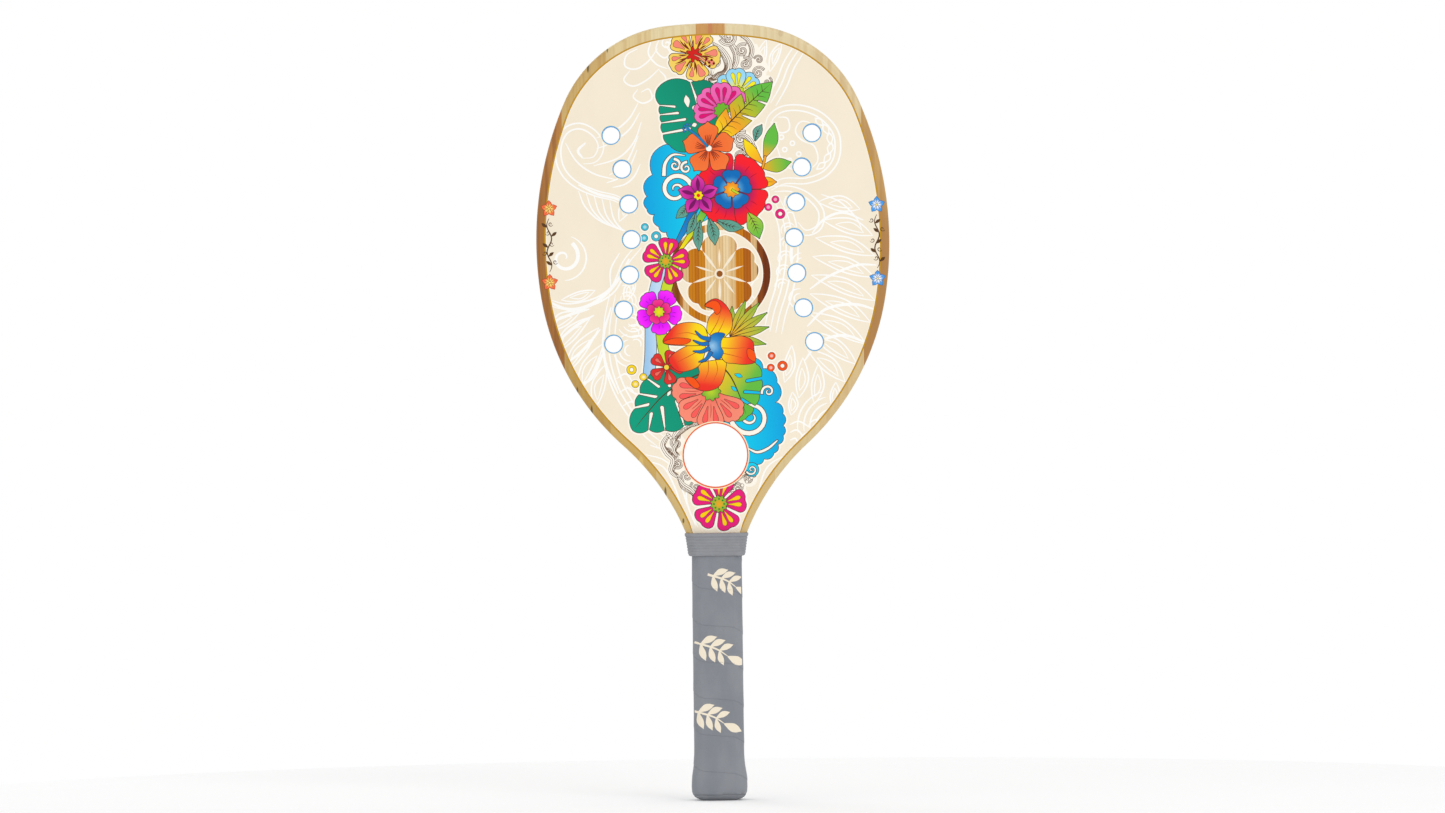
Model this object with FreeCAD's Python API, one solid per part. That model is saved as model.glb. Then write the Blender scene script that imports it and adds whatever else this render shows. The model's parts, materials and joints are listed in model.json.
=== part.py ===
"""Wooden beach paddle: laminated board, printed face sheets, sleeved holes, taped handle.

Millimetres. +Z runs from the butt to the top of the head, +X to the right of the front face,
and the front face looks toward -Y. The origin is under the centre of the butt.
"""
import FreeCAD, Part
import math
import os

from FreeCAD import Vector

# Board
LENGTH = 500.0
THICKNESS = 10.0
EDGE_ROUND = 2.6
# Right half of the outline from the middle of the top edge: (radius, turn in degrees).
# A positive radius bends toward the handle, a negative one is the hollow curve of the throat.
BOARD_ARCS = [(276.0, 5.8), (82.0, 60.5), (225.0, 33.0), (163.0, 38.5), (-156.0, 31.7)]
CENTRE_STRIP_HALF = 9.3
STRIP_WIDTH = 29.0
STRIPS_PER_SIDE = 3

# Printed face sheets, let in flush with the bare wood rim
SHEET_TOP_INSET = 6.8
SHEET_ARCS = [(200.0, 9.7), (78.0, 59.5), (230.0, 29.7), (158.0, 39.0), (-150.0, 31.7)]
SHEET_THICKNESS = 0.5

# Air holes: seven down each side, on an arc that is hollow toward the edge of the head
AIR_HOLES_PER_SIDE = 7
AIR_HOLE_RADIUS = 6.2
AIR_SLEEVE_WALL = 0.75
AIR_ARC_RADIUS = 190.0
AIR_ARC_CENTRE_X = 242.4
AIR_ARC_CENTRE_Z = 361.4
AIR_ARC_STEP = 6.9

# Throat hole
THROAT_Z = 222.0
THROAT_RADIUS = 21.2
THROAT_SLEEVE_WALL = 0.85

# Handle: eight-sided wood core, tape wound over it
CORE_HALF_DEPTH = 12.2
CORE_CORNER = 3.4
CORE_ROUND = 2.5
TAPE_THICKNESS = 1.8
TAPE_BOTTOM = 3.9
TAPE_TOP = 160.0
RAMP_END = 170.0
RAMP_END_DEPTH = 0.8
# Flare of the butt: (height, growth over the straight grip)
FLARE = [(TAPE_BOTTOM, 1.35), (7.7, 1.95), (15.5, 1.65), (20.0, 0.85), (24.0, 0.35), (30.0, 0.0)]

# Butt cap
CAP_FLOOR = 4.0
CAP_TOP = 20.0
# Rounded underside of the cap: (height, size against the cap's rim)
CAP_UNDERSIDE = [(0.0, 0.60), (0.4, 0.72), (1.2, 0.84), (2.4, 0.94)]
NAIL_RADIUS = 0.6
NAIL_HEAD_RADIUS = 1.4
NAIL_HEAD_THICKNESS = 0.6
NAIL_LENGTH = 5.0
NAIL_HEAD_REACH = 1.5
NAIL_Z = 10.0

# Rubber collar
COLLAR_BOTTOM = 157.2
COLLAR_TOP = 172.0
COLLAR_LIP_HEIGHT = 2.4
COLLAR_CHAMFER = 1.2
COLLAR_RIBS = 6
COLLAR_GROOVE_DEPTH = 0.45
COLLAR_LOW = (18.2, 16.0, 4.8, 4.5)
COLLAR_HIGH = (20.3, 9.4, 4.6, 3.6)
COLLAR_LIP = 0.4

OFFSET_CORNER = 2.0 - math.sqrt(2.0)


def arc_chain(start_z, arcs):
    """Tangent arcs from (0, start_z), heading toward +X: a list of (start, middle, end) points."""
    point = Vector(0.0, 0.0, start_z)
    heading = 0.0
    chain = []
    for radius, turn in arcs:
        side = math.copysign(1.0, radius)
        centre = point - Vector(math.sin(heading), 0.0, math.cos(heading)) * radius
        stops = []
        for part in (0.5, 1.0):
            angle = heading + side * math.radians(turn) * part
            stops.append(centre + Vector(math.sin(angle), 0.0, math.cos(angle)) * radius)
        chain.append((point, stops[0], stops[1]))
        heading += side * math.radians(turn)
        point = stops[1]
    return chain


def mirrored(point):
    return Vector(-point.x, point.y, point.z)


def plate(chain, y_low, y_high):
    """Flat plate of the outline and its mirror image, closed by a straight lower edge."""
    right = [Part.Arc(*points).toShape() for points in chain]
    left = [Part.Arc(*[mirrored(p) for p in points]).toShape() for points in chain]
    end = chain[-1][2]
    foot = Part.LineSegment(end, mirrored(end)).toShape()
    wire = Part.Wire(Part.__sortEdges__(right + left + [foot]))
    face = Part.Face(wire)
    face.translate(Vector(0.0, y_low, 0.0))
    return face.extrude(Vector(0.0, y_high - y_low, 0.0))


def box(x_low, x_high, y_low, y_high, z_low, z_high):
    corner = Vector(x_low, y_low, z_low)
    return Part.makeBox(x_high - x_low, y_high - y_low, z_high - z_low, corner)


def pin(x, z, radius, half_length=THICKNESS / 2):
    """Cylinder through the board, along Y."""
    base = Vector(x, -half_length, z)
    return Part.makeCylinder(radius, 2.0 * half_length, base, Vector(0.0, 1.0, 0.0))


def joined(shapes):
    return shapes[0].multiFuse(shapes[1:]).removeSplitter()


def eight_sided_wire(z, half_x, half_y, corner, rounding):
    """Rectangle with cut corners, each of its eight edges rounded, lying flat at height z."""
    quarter = [(half_x, half_y - corner), (half_x - corner, half_y)]
    points = [Vector(x, y, z) for x, y in quarter]
    points += [Vector(-x, y, z) for x, y in reversed(quarter)]
    points += [Vector(-x, -y, z) for x, y in quarter]
    points += [Vector(x, -y, z) for x, y in reversed(quarter)]
    setback = rounding * math.tan(math.radians(22.5))
    sagitta = rounding * (1.0 / math.cos(math.radians(22.5)) - 1.0)
    stops = []
    for i, tip in enumerate(points):
        back = (points[i - 1] - tip).normalize()
        ahead = (points[(i + 1) % 8] - tip).normalize()
        inward = (back + ahead).normalize()
        stops.append((tip + back * setback, tip + inward * sagitta, tip + ahead * setback))
    edges = []
    for i, (start, middle, end) in enumerate(stops):
        edges.append(Part.Arc(start, middle, end).toShape())
        edges.append(Part.LineSegment(end, stops[(i + 1) % 8][0]).toShape())
    return Part.Wire(edges)


def core_section(z, growth, scale=1.0):
    """Section of the handle core, grown outward by the same distance all round, then scaled."""
    corner = CORE_CORNER + growth * OFFSET_CORNER
    sizes = [core_half + growth, CORE_HALF_DEPTH + growth, corner, CORE_ROUND + growth]
    return eight_sided_wire(z, *[size * scale for size in sizes])


def solid_through(sections):
    return Part.makeLoft(sections, True, True)


def board_blank():
    """The head with its rounded rim, and the tongue that runs down inside the handle."""
    head = plate(board_chain, -THICKNESS / 2, THICKNESS / 2)
    rim = []
    for edge in head.Edges:
        on_a_face = all(abs(abs(v.Y) - THICKNESS / 2) < 1e-6 for v in edge.Vertexes)
        if on_a_face and isinstance(edge.Curve, Part.Circle):
            rim.append(edge)
    head = head.makeFillet(EDGE_ROUND, rim)
    tongue = box(-core_half, core_half, -THICKNESS / 2, THICKNESS / 2, CAP_FLOOR, board_chain[-1][2].z)
    return head.fuse(tongue).removeSplitter()


def air_hole_places():
    """(x, z) of the air holes of the right side, from the top down."""
    places = []
    for i in range(AIR_HOLES_PER_SIDE):
        angle = math.radians(AIR_ARC_STEP * ((AIR_HOLES_PER_SIDE - 1) / 2 - i))
        x = AIR_ARC_CENTRE_X - AIR_ARC_RADIUS * math.cos(angle)
        z = AIR_ARC_CENTRE_Z + AIR_ARC_RADIUS * math.sin(angle)
        places.append((x, z))
    return places


def drills():
    """Everything that is bored through the board and its two sheets."""
    bores = [pin(0.0, THROAT_Z, THROAT_RADIUS)]
    for x, z in air_hole_places():
        bores.append(pin(x, z, AIR_HOLE_RADIUS))
        bores.append(pin(-x, z, AIR_HOLE_RADIUS))
    return bores


def face_sheet(side):
    """Printed sheet of the front (side -1) or the back (side 1), which ends at the collar."""
    outer = side * THICKNESS / 2
    inner = outer - side * SHEET_THICKNESS
    sheet = plate(sheet_chain, min(inner, outer), max(inner, outer))
    handle_zone = box(-LENGTH, LENGTH, -THICKNESS, THICKNESS, 0.0, COLLAR_TOP)
    return sheet.cut(drills() + [handle_zone])


def sleeve(x, z, radius, wall):
    return pin(x, z, radius).cut(pin(x, z, radius - wall))


def air_sleeves(side):
    places = air_hole_places()
    return Part.makeCompound([sleeve(side * x, z, AIR_HOLE_RADIUS, AIR_SLEEVE_WALL) for x, z in places])


def strips(board):
    """The board cut along its glue lines into lengthwise strips."""
    half = THICKNESS / 2
    nodes = {}
    reach = CENTRE_STRIP_HALF
    nodes["strip_centre"] = board.common(box(-reach, reach, -half, half, 0.0, LENGTH))
    for number in range(1, STRIPS_PER_SIDE + 2):
        last = number > STRIPS_PER_SIDE
        outer = LENGTH / 2 if last else reach + STRIP_WIDTH
        name = "edge" if last else str(number)
        nodes["strip_left_" + name] = board.common(box(-outer, -reach, -half, half, 0.0, LENGTH))
        nodes["strip_right_" + name] = board.common(box(reach, outer, -half, half, 0.0, LENGTH))
        reach = outer
    return nodes


def handle_cheek(side):
    """Half of the handle core, glued on the tongue, with a ramp up to the board under the collar."""
    core = solid_through([core_section(CAP_FLOOR, 0.0), core_section(RAMP_END, 0.0)])
    inner = side * THICKNESS / 2
    outer = side * (CORE_HALF_DEPTH + 1.0)
    keep = box(-core_half, core_half, min(inner, outer), max(inner, outer), CAP_FLOOR, RAMP_END)
    cheek = core.common(keep)
    thin = side * (THICKNESS / 2 + RAMP_END_DEPTH)
    full = side * CORE_HALF_DEPTH
    far = side * 2.0 * CORE_HALF_DEPTH
    corners = [(full, COLLAR_BOTTOM), (thin, RAMP_END), (far, RAMP_END), (far, COLLAR_BOTTOM)]
    points = [Vector(-LENGTH, y, z) for y, z in corners]
    wedge = Part.Face(Part.makePolygon(points + points[:1])).extrude(Vector(2.0 * LENGTH, 0.0, 0.0))
    return cheek.cut(wedge)


def butt_cap():
    """Flared cup over the end of the core, with a rounded underside."""
    sections = [core_section(z, FLARE[0][1], scale) for z, scale in CAP_UNDERSIDE]
    sections += [core_section(z, growth) for z, growth in FLARE if z <= CAP_TOP]
    core = solid_through([core_section(CAP_FLOOR, 0.0), core_section(CAP_TOP, 0.0)])
    return solid_through(sections).cut([core] + nails())


def nails():
    """Two nails through the cap's skirt, driven into the edges of the tongue."""
    result = []
    for side in (-1.0, 1.0):
        inward = Vector(-side, 0.0, 0.0)
        head_at = Vector(side * (core_half + NAIL_HEAD_REACH), 0.0, NAIL_Z)
        head = Part.makeCylinder(NAIL_HEAD_RADIUS, NAIL_HEAD_THICKNESS, head_at, inward)
        shank = Part.makeCylinder(NAIL_RADIUS, NAIL_LENGTH, head_at, inward)
        tip_at = head_at + inward * NAIL_LENGTH
        tip = Part.makeCone(NAIL_RADIUS, NAIL_RADIUS / 6, 2.0 * NAIL_RADIUS, tip_at, inward)
        result.append(joined([head, shank, tip]))
    return result


def grip_tape(cap):
    """Tape wound over the core and the cap, as one sleeve with its flare."""
    sections = [core_section(z, TAPE_THICKNESS + growth) for z, growth in FLARE]
    sections.append(core_section(TAPE_TOP, TAPE_THICKNESS))
    core = solid_through([core_section(0.0, 0.0), core_section(TAPE_TOP, 0.0)])
    tape = solid_through(sections).cut([core, cap] + nails())
    return tape.cut(plate(board_chain, -THICKNESS / 2, THICKNESS / 2))


def collar_section(z, growth):
    """Section of the collar, blending from the grip's shape up to the flat throat."""
    part = (z - COLLAR_BOTTOM) / (COLLAR_TOP - COLLAR_BOTTOM)
    size = [low + (high - low) * part for low, high in zip(COLLAR_LOW, COLLAR_HIGH)]
    half_x, half_y, corner, rounding = size
    return eight_sided_wire(z, half_x + growth, half_y + growth, corner + growth * OFFSET_CORNER, rounding)


def grip_collar(contents):
    """Stretched rubber collar with round ribs and a lip at the top."""
    ribs_bottom = COLLAR_BOTTOM + COLLAR_CHAMFER
    ribs_top = COLLAR_TOP - COLLAR_LIP_HEIGHT
    pitch = (ribs_top - ribs_bottom) / COLLAR_RIBS
    sections = [collar_section(COLLAR_BOTTOM, -COLLAR_CHAMFER)]
    for i in range(COLLAR_RIBS):
        low = ribs_bottom + i * pitch
        sections.append(collar_section(low, -COLLAR_GROOVE_DEPTH))
        sections.append(collar_section(low + pitch * 0.25, 0.0))
        sections.append(collar_section(low + pitch * 0.75, 0.0))
    sections.append(collar_section(ribs_top, -COLLAR_GROOVE_DEPTH))
    sections.append(collar_section(ribs_top + COLLAR_LIP, COLLAR_LIP))
    sections.append(collar_section(COLLAR_TOP - COLLAR_LIP, COLLAR_LIP))
    sections.append(collar_section(COLLAR_TOP, 0.0))
    return solid_through(sections).cut(contents)


board_chain = arc_chain(LENGTH, BOARD_ARCS)
sheet_chain = arc_chain(LENGTH - SHEET_TOP_INSET, SHEET_ARCS)
core_half = board_chain[-1][2].x


def build():
    front_sheet = face_sheet(-1.0)
    back_sheet = face_sheet(1.0)
    board = board_blank()
    front_cheek = handle_cheek(-1.0)
    back_cheek = handle_cheek(1.0)
    cap = butt_cap()
    tape = grip_tape(cap)
    nodes = strips(board.cut(drills() + [front_sheet, back_sheet] + nails()))
    nodes["front_face_sheet"] = front_sheet
    nodes["back_face_sheet"] = back_sheet
    nodes["hole_sleeves_left"] = air_sleeves(-1.0)
    nodes["hole_sleeves_right"] = air_sleeves(1.0)
    nodes["throat_sleeve"] = sleeve(0.0, THROAT_Z, THROAT_RADIUS, THROAT_SLEEVE_WALL)
    nodes["handle_cheek_front"] = front_cheek
    nodes["handle_cheek_back"] = back_cheek
    nodes["butt_cap"] = cap
    nodes["butt_cap_nails"] = Part.makeCompound(nails())
    nodes["grip_tape"] = tape
    nodes["grip_collar"] = grip_collar([board, front_cheek, back_cheek, tape])
    return nodes


def main():
    os.makedirs("parts", exist_ok=True)
    for name, shape in build().items():
        shape.exportStep("parts/" + name + ".step")
        size = shape.optimalBoundingBox()
        print(name, len(shape.Solids), "solids", round(shape.Volume), "mm3", shape.isValid(),
              [round(v, 2) for v in (size.XMin, size.XMax, size.YMin, size.YMax, size.ZMin, size.ZMax)])


main()
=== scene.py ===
"""Looks of the wooden beach paddle: laminated rim, floral printed faces, taped handle."""
import bmesh
import bpy
import json
import math
import numpy as np
from mathutils import Matrix, Vector
from mathutils.geometry import delaunay_2d_cdt

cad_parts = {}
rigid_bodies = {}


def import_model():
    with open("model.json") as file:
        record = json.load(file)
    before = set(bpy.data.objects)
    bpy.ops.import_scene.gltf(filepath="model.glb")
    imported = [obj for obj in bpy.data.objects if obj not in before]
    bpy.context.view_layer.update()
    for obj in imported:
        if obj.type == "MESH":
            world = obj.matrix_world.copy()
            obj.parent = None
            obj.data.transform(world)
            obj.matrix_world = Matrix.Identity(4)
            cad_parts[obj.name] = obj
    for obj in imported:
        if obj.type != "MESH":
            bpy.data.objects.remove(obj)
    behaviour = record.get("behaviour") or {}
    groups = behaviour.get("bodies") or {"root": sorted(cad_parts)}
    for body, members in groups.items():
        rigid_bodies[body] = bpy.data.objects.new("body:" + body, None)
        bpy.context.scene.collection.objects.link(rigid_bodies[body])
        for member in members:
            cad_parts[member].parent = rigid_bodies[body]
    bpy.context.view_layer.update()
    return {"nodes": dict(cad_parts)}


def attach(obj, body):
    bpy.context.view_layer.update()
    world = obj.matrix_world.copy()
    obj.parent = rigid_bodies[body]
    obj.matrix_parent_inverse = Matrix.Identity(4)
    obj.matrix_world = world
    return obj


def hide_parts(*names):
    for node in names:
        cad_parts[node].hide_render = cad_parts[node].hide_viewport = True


MM = 0.001

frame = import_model()


# ---------------------------------------------------------------- colours and flat outlines, in mm

def ink(red, green, blue):
    """Linear colour of an sRGB colour given in 0 to 255."""
    def channel(value):
        v = value / 255
        return v / 12.92 if v <= 0.04045 else ((v + 0.055) / 1.055) ** 2.4
    return (channel(red), channel(green), channel(blue))


def flat(colour):
    return lambda points: np.tile(colour, (len(points), 1))


def blend(colours, share):
    """Colours at equal steps from 0 to 1, read at each share."""
    steps = np.linspace(0, 1, len(colours))
    return np.stack([np.interp(share, steps, [c[k] for c in colours]) for k in range(3)], axis=1)


def along(start, end, *colours):
    """Straight gradient from start to end."""
    start, way = np.array(start, float), np.subtract(end, start)

    def fill(points):
        return blend(colours, np.clip((points - start) @ way / (way @ way), 0, 1))

    fill.graded = True
    return fill


def glow(centre, radius, *colours):
    """Round gradient from the centre out to the radius."""
    def fill(points):
        return blend(colours, np.clip(np.linalg.norm(points - centre, axis=1) / radius, 0, 1))

    fill.graded = True
    return fill


def smooth(points, closed=False, steps=6):
    """Curve through the points."""
    p = np.array(points, float)
    p = np.vstack([p[-1:], p, p[:2]]) if closed else np.vstack([2 * p[0] - p[1], p, 2 * p[-1] - p[-2]])
    t = np.linspace(0, 1, steps, endpoint=False)[:, None]
    parts = []
    for a, b, c, d in zip(p, p[1:], p[2:], p[3:]):
        parts.append(0.5 * (2 * b + (c - a) * t + (2 * a - 5 * b + 4 * c - d) * t ** 2
                            + (3 * b - a - 3 * c + d) * t ** 3))
    return np.vstack(parts if closed else parts + [p[-2:-1]])


def circle(x, z, radius, count=28):
    t = np.linspace(0, 2 * math.pi, count, endpoint=False)
    return np.stack([x + radius * np.cos(t), z + radius * np.sin(t)], axis=1)


def ring(x, z, outer, inner, count):
    """Annulus as one outline: round the outside, then back round the inside."""
    rim, hole = circle(x, z, outer, count), circle(x, z, inner, count)
    return np.vstack([rim, rim[:1], hole[:1], hole[::-1]])


def arc(x, z, radius, start, end, count):
    t = np.radians(np.linspace(start, end, count))
    return np.stack([x + radius * np.cos(t), z + radius * np.sin(t)], axis=1)


def spiral(x, z, radius, turns, start, inner=0.12, count=40):
    """Spiral from the outside in. Negative turns wind clockwise."""
    t = np.linspace(0, 1, count)
    r = radius * (1 - (1 - inner) * t ** 0.8)
    a = math.radians(start) + 2 * math.pi * turns * t
    return np.stack([x + r * np.cos(a), z + r * np.sin(a)], axis=1)


def sideways(path):
    """Unit normals to the left of a path."""
    way = np.gradient(path, axis=0)
    way /= np.maximum(np.linalg.norm(way, axis=1, keepdims=True), 1e-9)
    return np.stack([-way[:, 1], way[:, 0]], axis=1)


def echo(path, distance):
    """Parallel line beside a path."""
    return path + sideways(path) * distance


WIDTHS = {
    "even": lambda t: np.ones_like(t),
    "taper": lambda t: np.sin(math.pi * np.clip(t, 0.02, 0.98)) ** 0.32,
    "tail": lambda t: np.sqrt(np.clip(1 - t, 0.01, 1)),
    "grow": lambda t: np.sqrt(np.clip(t, 0.01, 1)),
}


def stroke(path, width, shape="taper"):
    """Outline of a line drawn along a path, its width changing by shape."""
    path = np.asarray(path, float)
    half = WIDTHS[shape](np.linspace(0, 1, len(path)))[:, None] * width / 2
    side = sideways(path)
    return np.vstack([path + side * half, (path - side * half)[::-1]])


def grow(outline, distance):
    """Outline moved outward by a distance, or inward by a negative one."""
    following = np.roll(outline, -1, axis=0)
    turn = np.sum(outline[:, 0] * following[:, 1] - following[:, 0] * outline[:, 1])
    edge = (following - outline) * (1 if turn > 0 else -1)
    out = np.stack([edge[:, 1], -edge[:, 0]], axis=1)
    out /= np.maximum(np.linalg.norm(out, axis=1, keepdims=True), 1e-9)
    corner = out + np.roll(out, 1, axis=0)
    length = np.linalg.norm(corner, axis=1, keepdims=True)
    return outline + corner / np.maximum(length, 1e-9) * distance * np.clip(2 / np.maximum(length, 1e-9), 1, 1.5)


def turned(points, angle, move):
    """Points turned anticlockwise by degrees, then moved."""
    a = math.radians(angle)
    turn = np.array([[math.cos(a), math.sin(a)], [-math.sin(a), math.cos(a)]])
    return np.asarray(points, float) @ turn + move


# ---------------------------------------------------------------- the printed artwork

CREAM = ink(247, 235, 213)
HALO = ink(255, 249, 236)
WHITE = ink(255, 254, 251)
GOLD = ink(196, 146, 30)
LINE = ink(66, 46, 32)
BROWN = ink(112, 84, 62)
TEAL = ink(0, 158, 124)
SKY = ink(0, 210, 242)
DEEP_SKY = ink(0, 164, 226)
YELLOW = ink(252, 226, 10)
ORANGE = ink(249, 164, 32)
GREEN = ink(100, 190, 66)
LIME = ink(192, 216, 40)
PINK = ink(234, 26, 124)
BLUE = ink(0, 108, 186)
RED = ink(252, 26, 38)
LEAF_TEAL = ink(96, 162, 144)

# Half outlines of petals and leaves: (share of the length, share of the width)
PETALS = {
    "round": [(0, .06), (.3, .2), (.6, .42), (.84, .5), (.97, .32), (1, .08), (.985, 0)],
    "pointed": [(0, .06), (.22, .3), (.48, .5), (.72, .4), (.9, .14), (1, 0)],
    "broad": [(0, .08), (.25, .3), (.5, .47), (.74, .52), (.92, .4), (1, .18), (.95, 0)],
    "lobed": [(0, .08), (.28, .24), (.54, .44), (.72, .53), (.85, .47), (.89, .33), (.97, .24), (1, .1), (.985, 0)],
    "club": [(0, .07), (.25, .17), (.5, .35), (.74, .5), (.92, .42), (1, .2), (.965, 0)],
    "kite": [(0, .08), (.3, .3), (.6, .5), (.78, .44), (.9, .16), (1, 0)],
    "drop": [(0, .05), (.35, .22), (.7, .46), (.9, .42), (1, .12), (1, 0)],
}


def petal(centre, angle, length, width, shape, start=0.0, bend=0.0):
    """Outline from start to length out of the centre, bent sideways in the middle by bend."""
    half = smooth(PETALS[shape], steps=4)
    u, v = half[:, 0], half[:, 1] * width
    reach = start + (length - start) * u
    bow = bend * np.sin(math.pi * u)
    local = np.vstack([np.stack([reach, bow + v], 1), np.stack([reach, bow - v], 1)[::-1]])
    return turned(local, angle, centre)


def evenly(outline, spacing):
    """The same closed outline with its long sides divided up."""
    parts = []
    for a, b in zip(outline, np.roll(outline, -1, axis=0)):
        pieces = max(1, int(np.linalg.norm(b - a) // spacing))
        parts.append(a + (b - a) * np.linspace(0, 1, pieces, endpoint=False)[:, None])
    return np.vstack(parts)


def slit(outline, cuts, mouth=1.0, bulb=0.42):
    """Outline with round-ended slits cut in from its edge: (place on the edge, inner end, width)."""
    for near, end, width in cuts:
        outline = evenly(outline, 0.7)
        outline = np.roll(outline, -np.linalg.norm(outline - near, axis=1).argmin(), axis=0)
        steps = np.linalg.norm(np.diff(outline, axis=0), axis=1)
        ahead = int(np.searchsorted(np.cumsum(steps), mouth * width / 2)) + 1
        behind = int(np.searchsorted(np.cumsum(steps[::-1]), mouth * width / 2)) + 1
        kept = outline[ahead:len(outline) - behind + 1]
        after, before = kept[0], kept[-1]
        way = end - (after + before) / 2
        out = way / np.linalg.norm(way)
        side = (before - after) / np.linalg.norm(before - after)
        t = np.linspace(0, math.pi, 7)[:, None]
        tip = end + (side * np.cos(t) + out * np.sin(t)) * width * bulb
        outline = np.vstack([kept, tip])
    return outline


class Sheet:
    """Flat artwork as painted outlines, the last one on top, over a layer of pale halos."""

    def __init__(self):
        self.halos, self.layers = [], []

    def paint(self, outline, fill):
        self.layers.append((np.asarray(outline, float), fill))

    def figure(self, outline, fill, line=0.34, colour=LINE):
        """A shape with a thin line round it."""
        self.paint(grow(outline, line), flat(colour))
        self.paint(outline, fill)

    def motif(self, shapes, line=0.4, halo=1.0):
        for outline, fill in shapes:
            self.halos.append((grow(outline, line + halo), flat(HALO)))
            self.figure(outline, fill, line)


def marks(sheet, centre, angles, near, far, width, colour, shape="drop"):
    """Small drops or lines on petals, one at each angle."""
    for angle in angles:
        sheet.figure(petal(centre, angle, far, width, shape, near), flat(colour), 0.25)


def hairlines(sheet, centre, angles, near, far, colour, width):
    for angle in angles:
        ends = turned([(near, 0), ((near + far) / 2, 0.25), (far, 0)], angle, centre)
        sheet.paint(stroke(smooth(ends, steps=3), width), flat(colour))


def rosette(x, z, radius, bumps, depth):
    """Circle with evenly spaced bumps."""
    t = np.linspace(0, 2 * math.pi, bumps * 8, endpoint=False)
    r = radius * (1 + depth * np.cos(bumps * t))
    return np.stack([x + r * np.cos(t), z + r * np.sin(t)], axis=1)


def bead(sheet, x, z, radius, colour, hollow=False):
    """Shiny dot, or a ring with a pale middle."""
    sheet.halos.append((circle(x, z, radius + 1.1), flat(HALO)))
    sheet.paint(circle(x, z, radius + 0.3), flat(LINE))
    if hollow:
        sheet.paint(circle(x, z, radius), flat(colour))
        sheet.paint(circle(x, z, radius * 0.5), flat(LINE))
        sheet.paint(circle(x, z, radius * 0.42), flat(HALO))
    else:
        pale = tuple(0.2 * c + 0.8 for c in colour)
        half = tuple(0.65 * c + 0.35 for c in colour)
        sheet.paint(circle(x, z, radius), glow((x, z), radius, half, colour, colour))
        sheet.paint(circle(x, z, radius * 0.5, 14), glow((x, z), radius * 0.5, pale, half))


def leaf(sheet, base, tip, width, fill, bend, veins, halo=1.0):
    """Pointed leaf with a middle vein and pairs of side veins."""
    way = np.subtract(tip, base)
    length, angle = np.linalg.norm(way), math.degrees(math.atan2(way[1], way[0]))
    sheet.motif([(petal(base, angle, length, width, "pointed", 0, bend), fill)], 0.36, halo)
    if veins:
        middle = turned([(0, 0), (length * .45, bend * .97), (length * .86, bend * .42)], angle, base)
        sheet.paint(stroke(smooth(middle, steps=4), 0.5, "tail"), flat(LINE))
        for i in range(veins):
            u = 0.2 + 0.5 * i / veins
            bow = bend * math.sin(math.pi * u)
            for side in (-1, 1):
                out = [(length * u, bow), (length * (u + .13), bow + side * width * .27)]
                sheet.paint(stroke(turned(smooth(out, steps=2), angle, base), 0.42, "tail"), flat(LINE))


def scalloped(points, bulge):
    """Closed outline whose every side swells outward, like a cloud."""
    p = np.array(points, float)
    parts = []
    for a, b in zip(p, np.roll(p, -1, axis=0)):
        way = b - a
        out = np.array([way[1], -way[0]])
        t = np.linspace(0, 1, 9, endpoint=False)[:, None]
        parts.append(a + way * t + out * bulge * np.sin(math.pi * t) ** 0.75)
    return np.vstack(parts)


def scroll_band(sheet, path, width, shape="tail"):
    """Pale band with a dark line on both sides."""
    sheet.figure(stroke(path, width, shape), flat(HALO), 0.5, ink(70, 60, 56))


LINE_ART = 1.05


def wave_line(sheet, points, width=LINE_ART):
    sheet.paint(stroke(smooth(points, steps=5), width), flat(WHITE))


def echoes(sheet, points, distances):
    """White lines side by side along one curve."""
    path = smooth(points, steps=5)
    for distance in distances:
        sheet.paint(stroke(echo(path, distance), LINE_ART), flat(WHITE))


def arcs(sheet, x, z, radii, start, end, width=LINE_ART):
    for radius in radii:
        sheet.paint(stroke(arc(x, z, radius, start, end, 8 + int(radius * abs(end - start) / 260)), width), flat(WHITE))


def line_leaf(sheet, base, tip, width, bend):
    """Leaf drawn in white line only, with a smaller one inside."""
    way = np.subtract(tip, base)
    length, angle = np.linalg.norm(way), math.degrees(math.atan2(way[1], way[0]))
    for scale in (1.0, 0.5):
        first, last = length * (1 - scale) * .5, length * (1 - (1 - scale) * .36)
        for side in (-1, 1):
            half = [(0, 0), (.22, .3), (.5, .5), (.76, .36), (1, 0)]
            points = [(first + (last - first) * u, bend * math.sin(math.pi * u) + side * v * width * scale)
                      for u, v in half]
            line = LINE_ART * (.95 if scale == 1 else .75)
            sheet.paint(stroke(turned(smooth(points, steps=4), angle, base), line), flat(WHITE))


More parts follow.
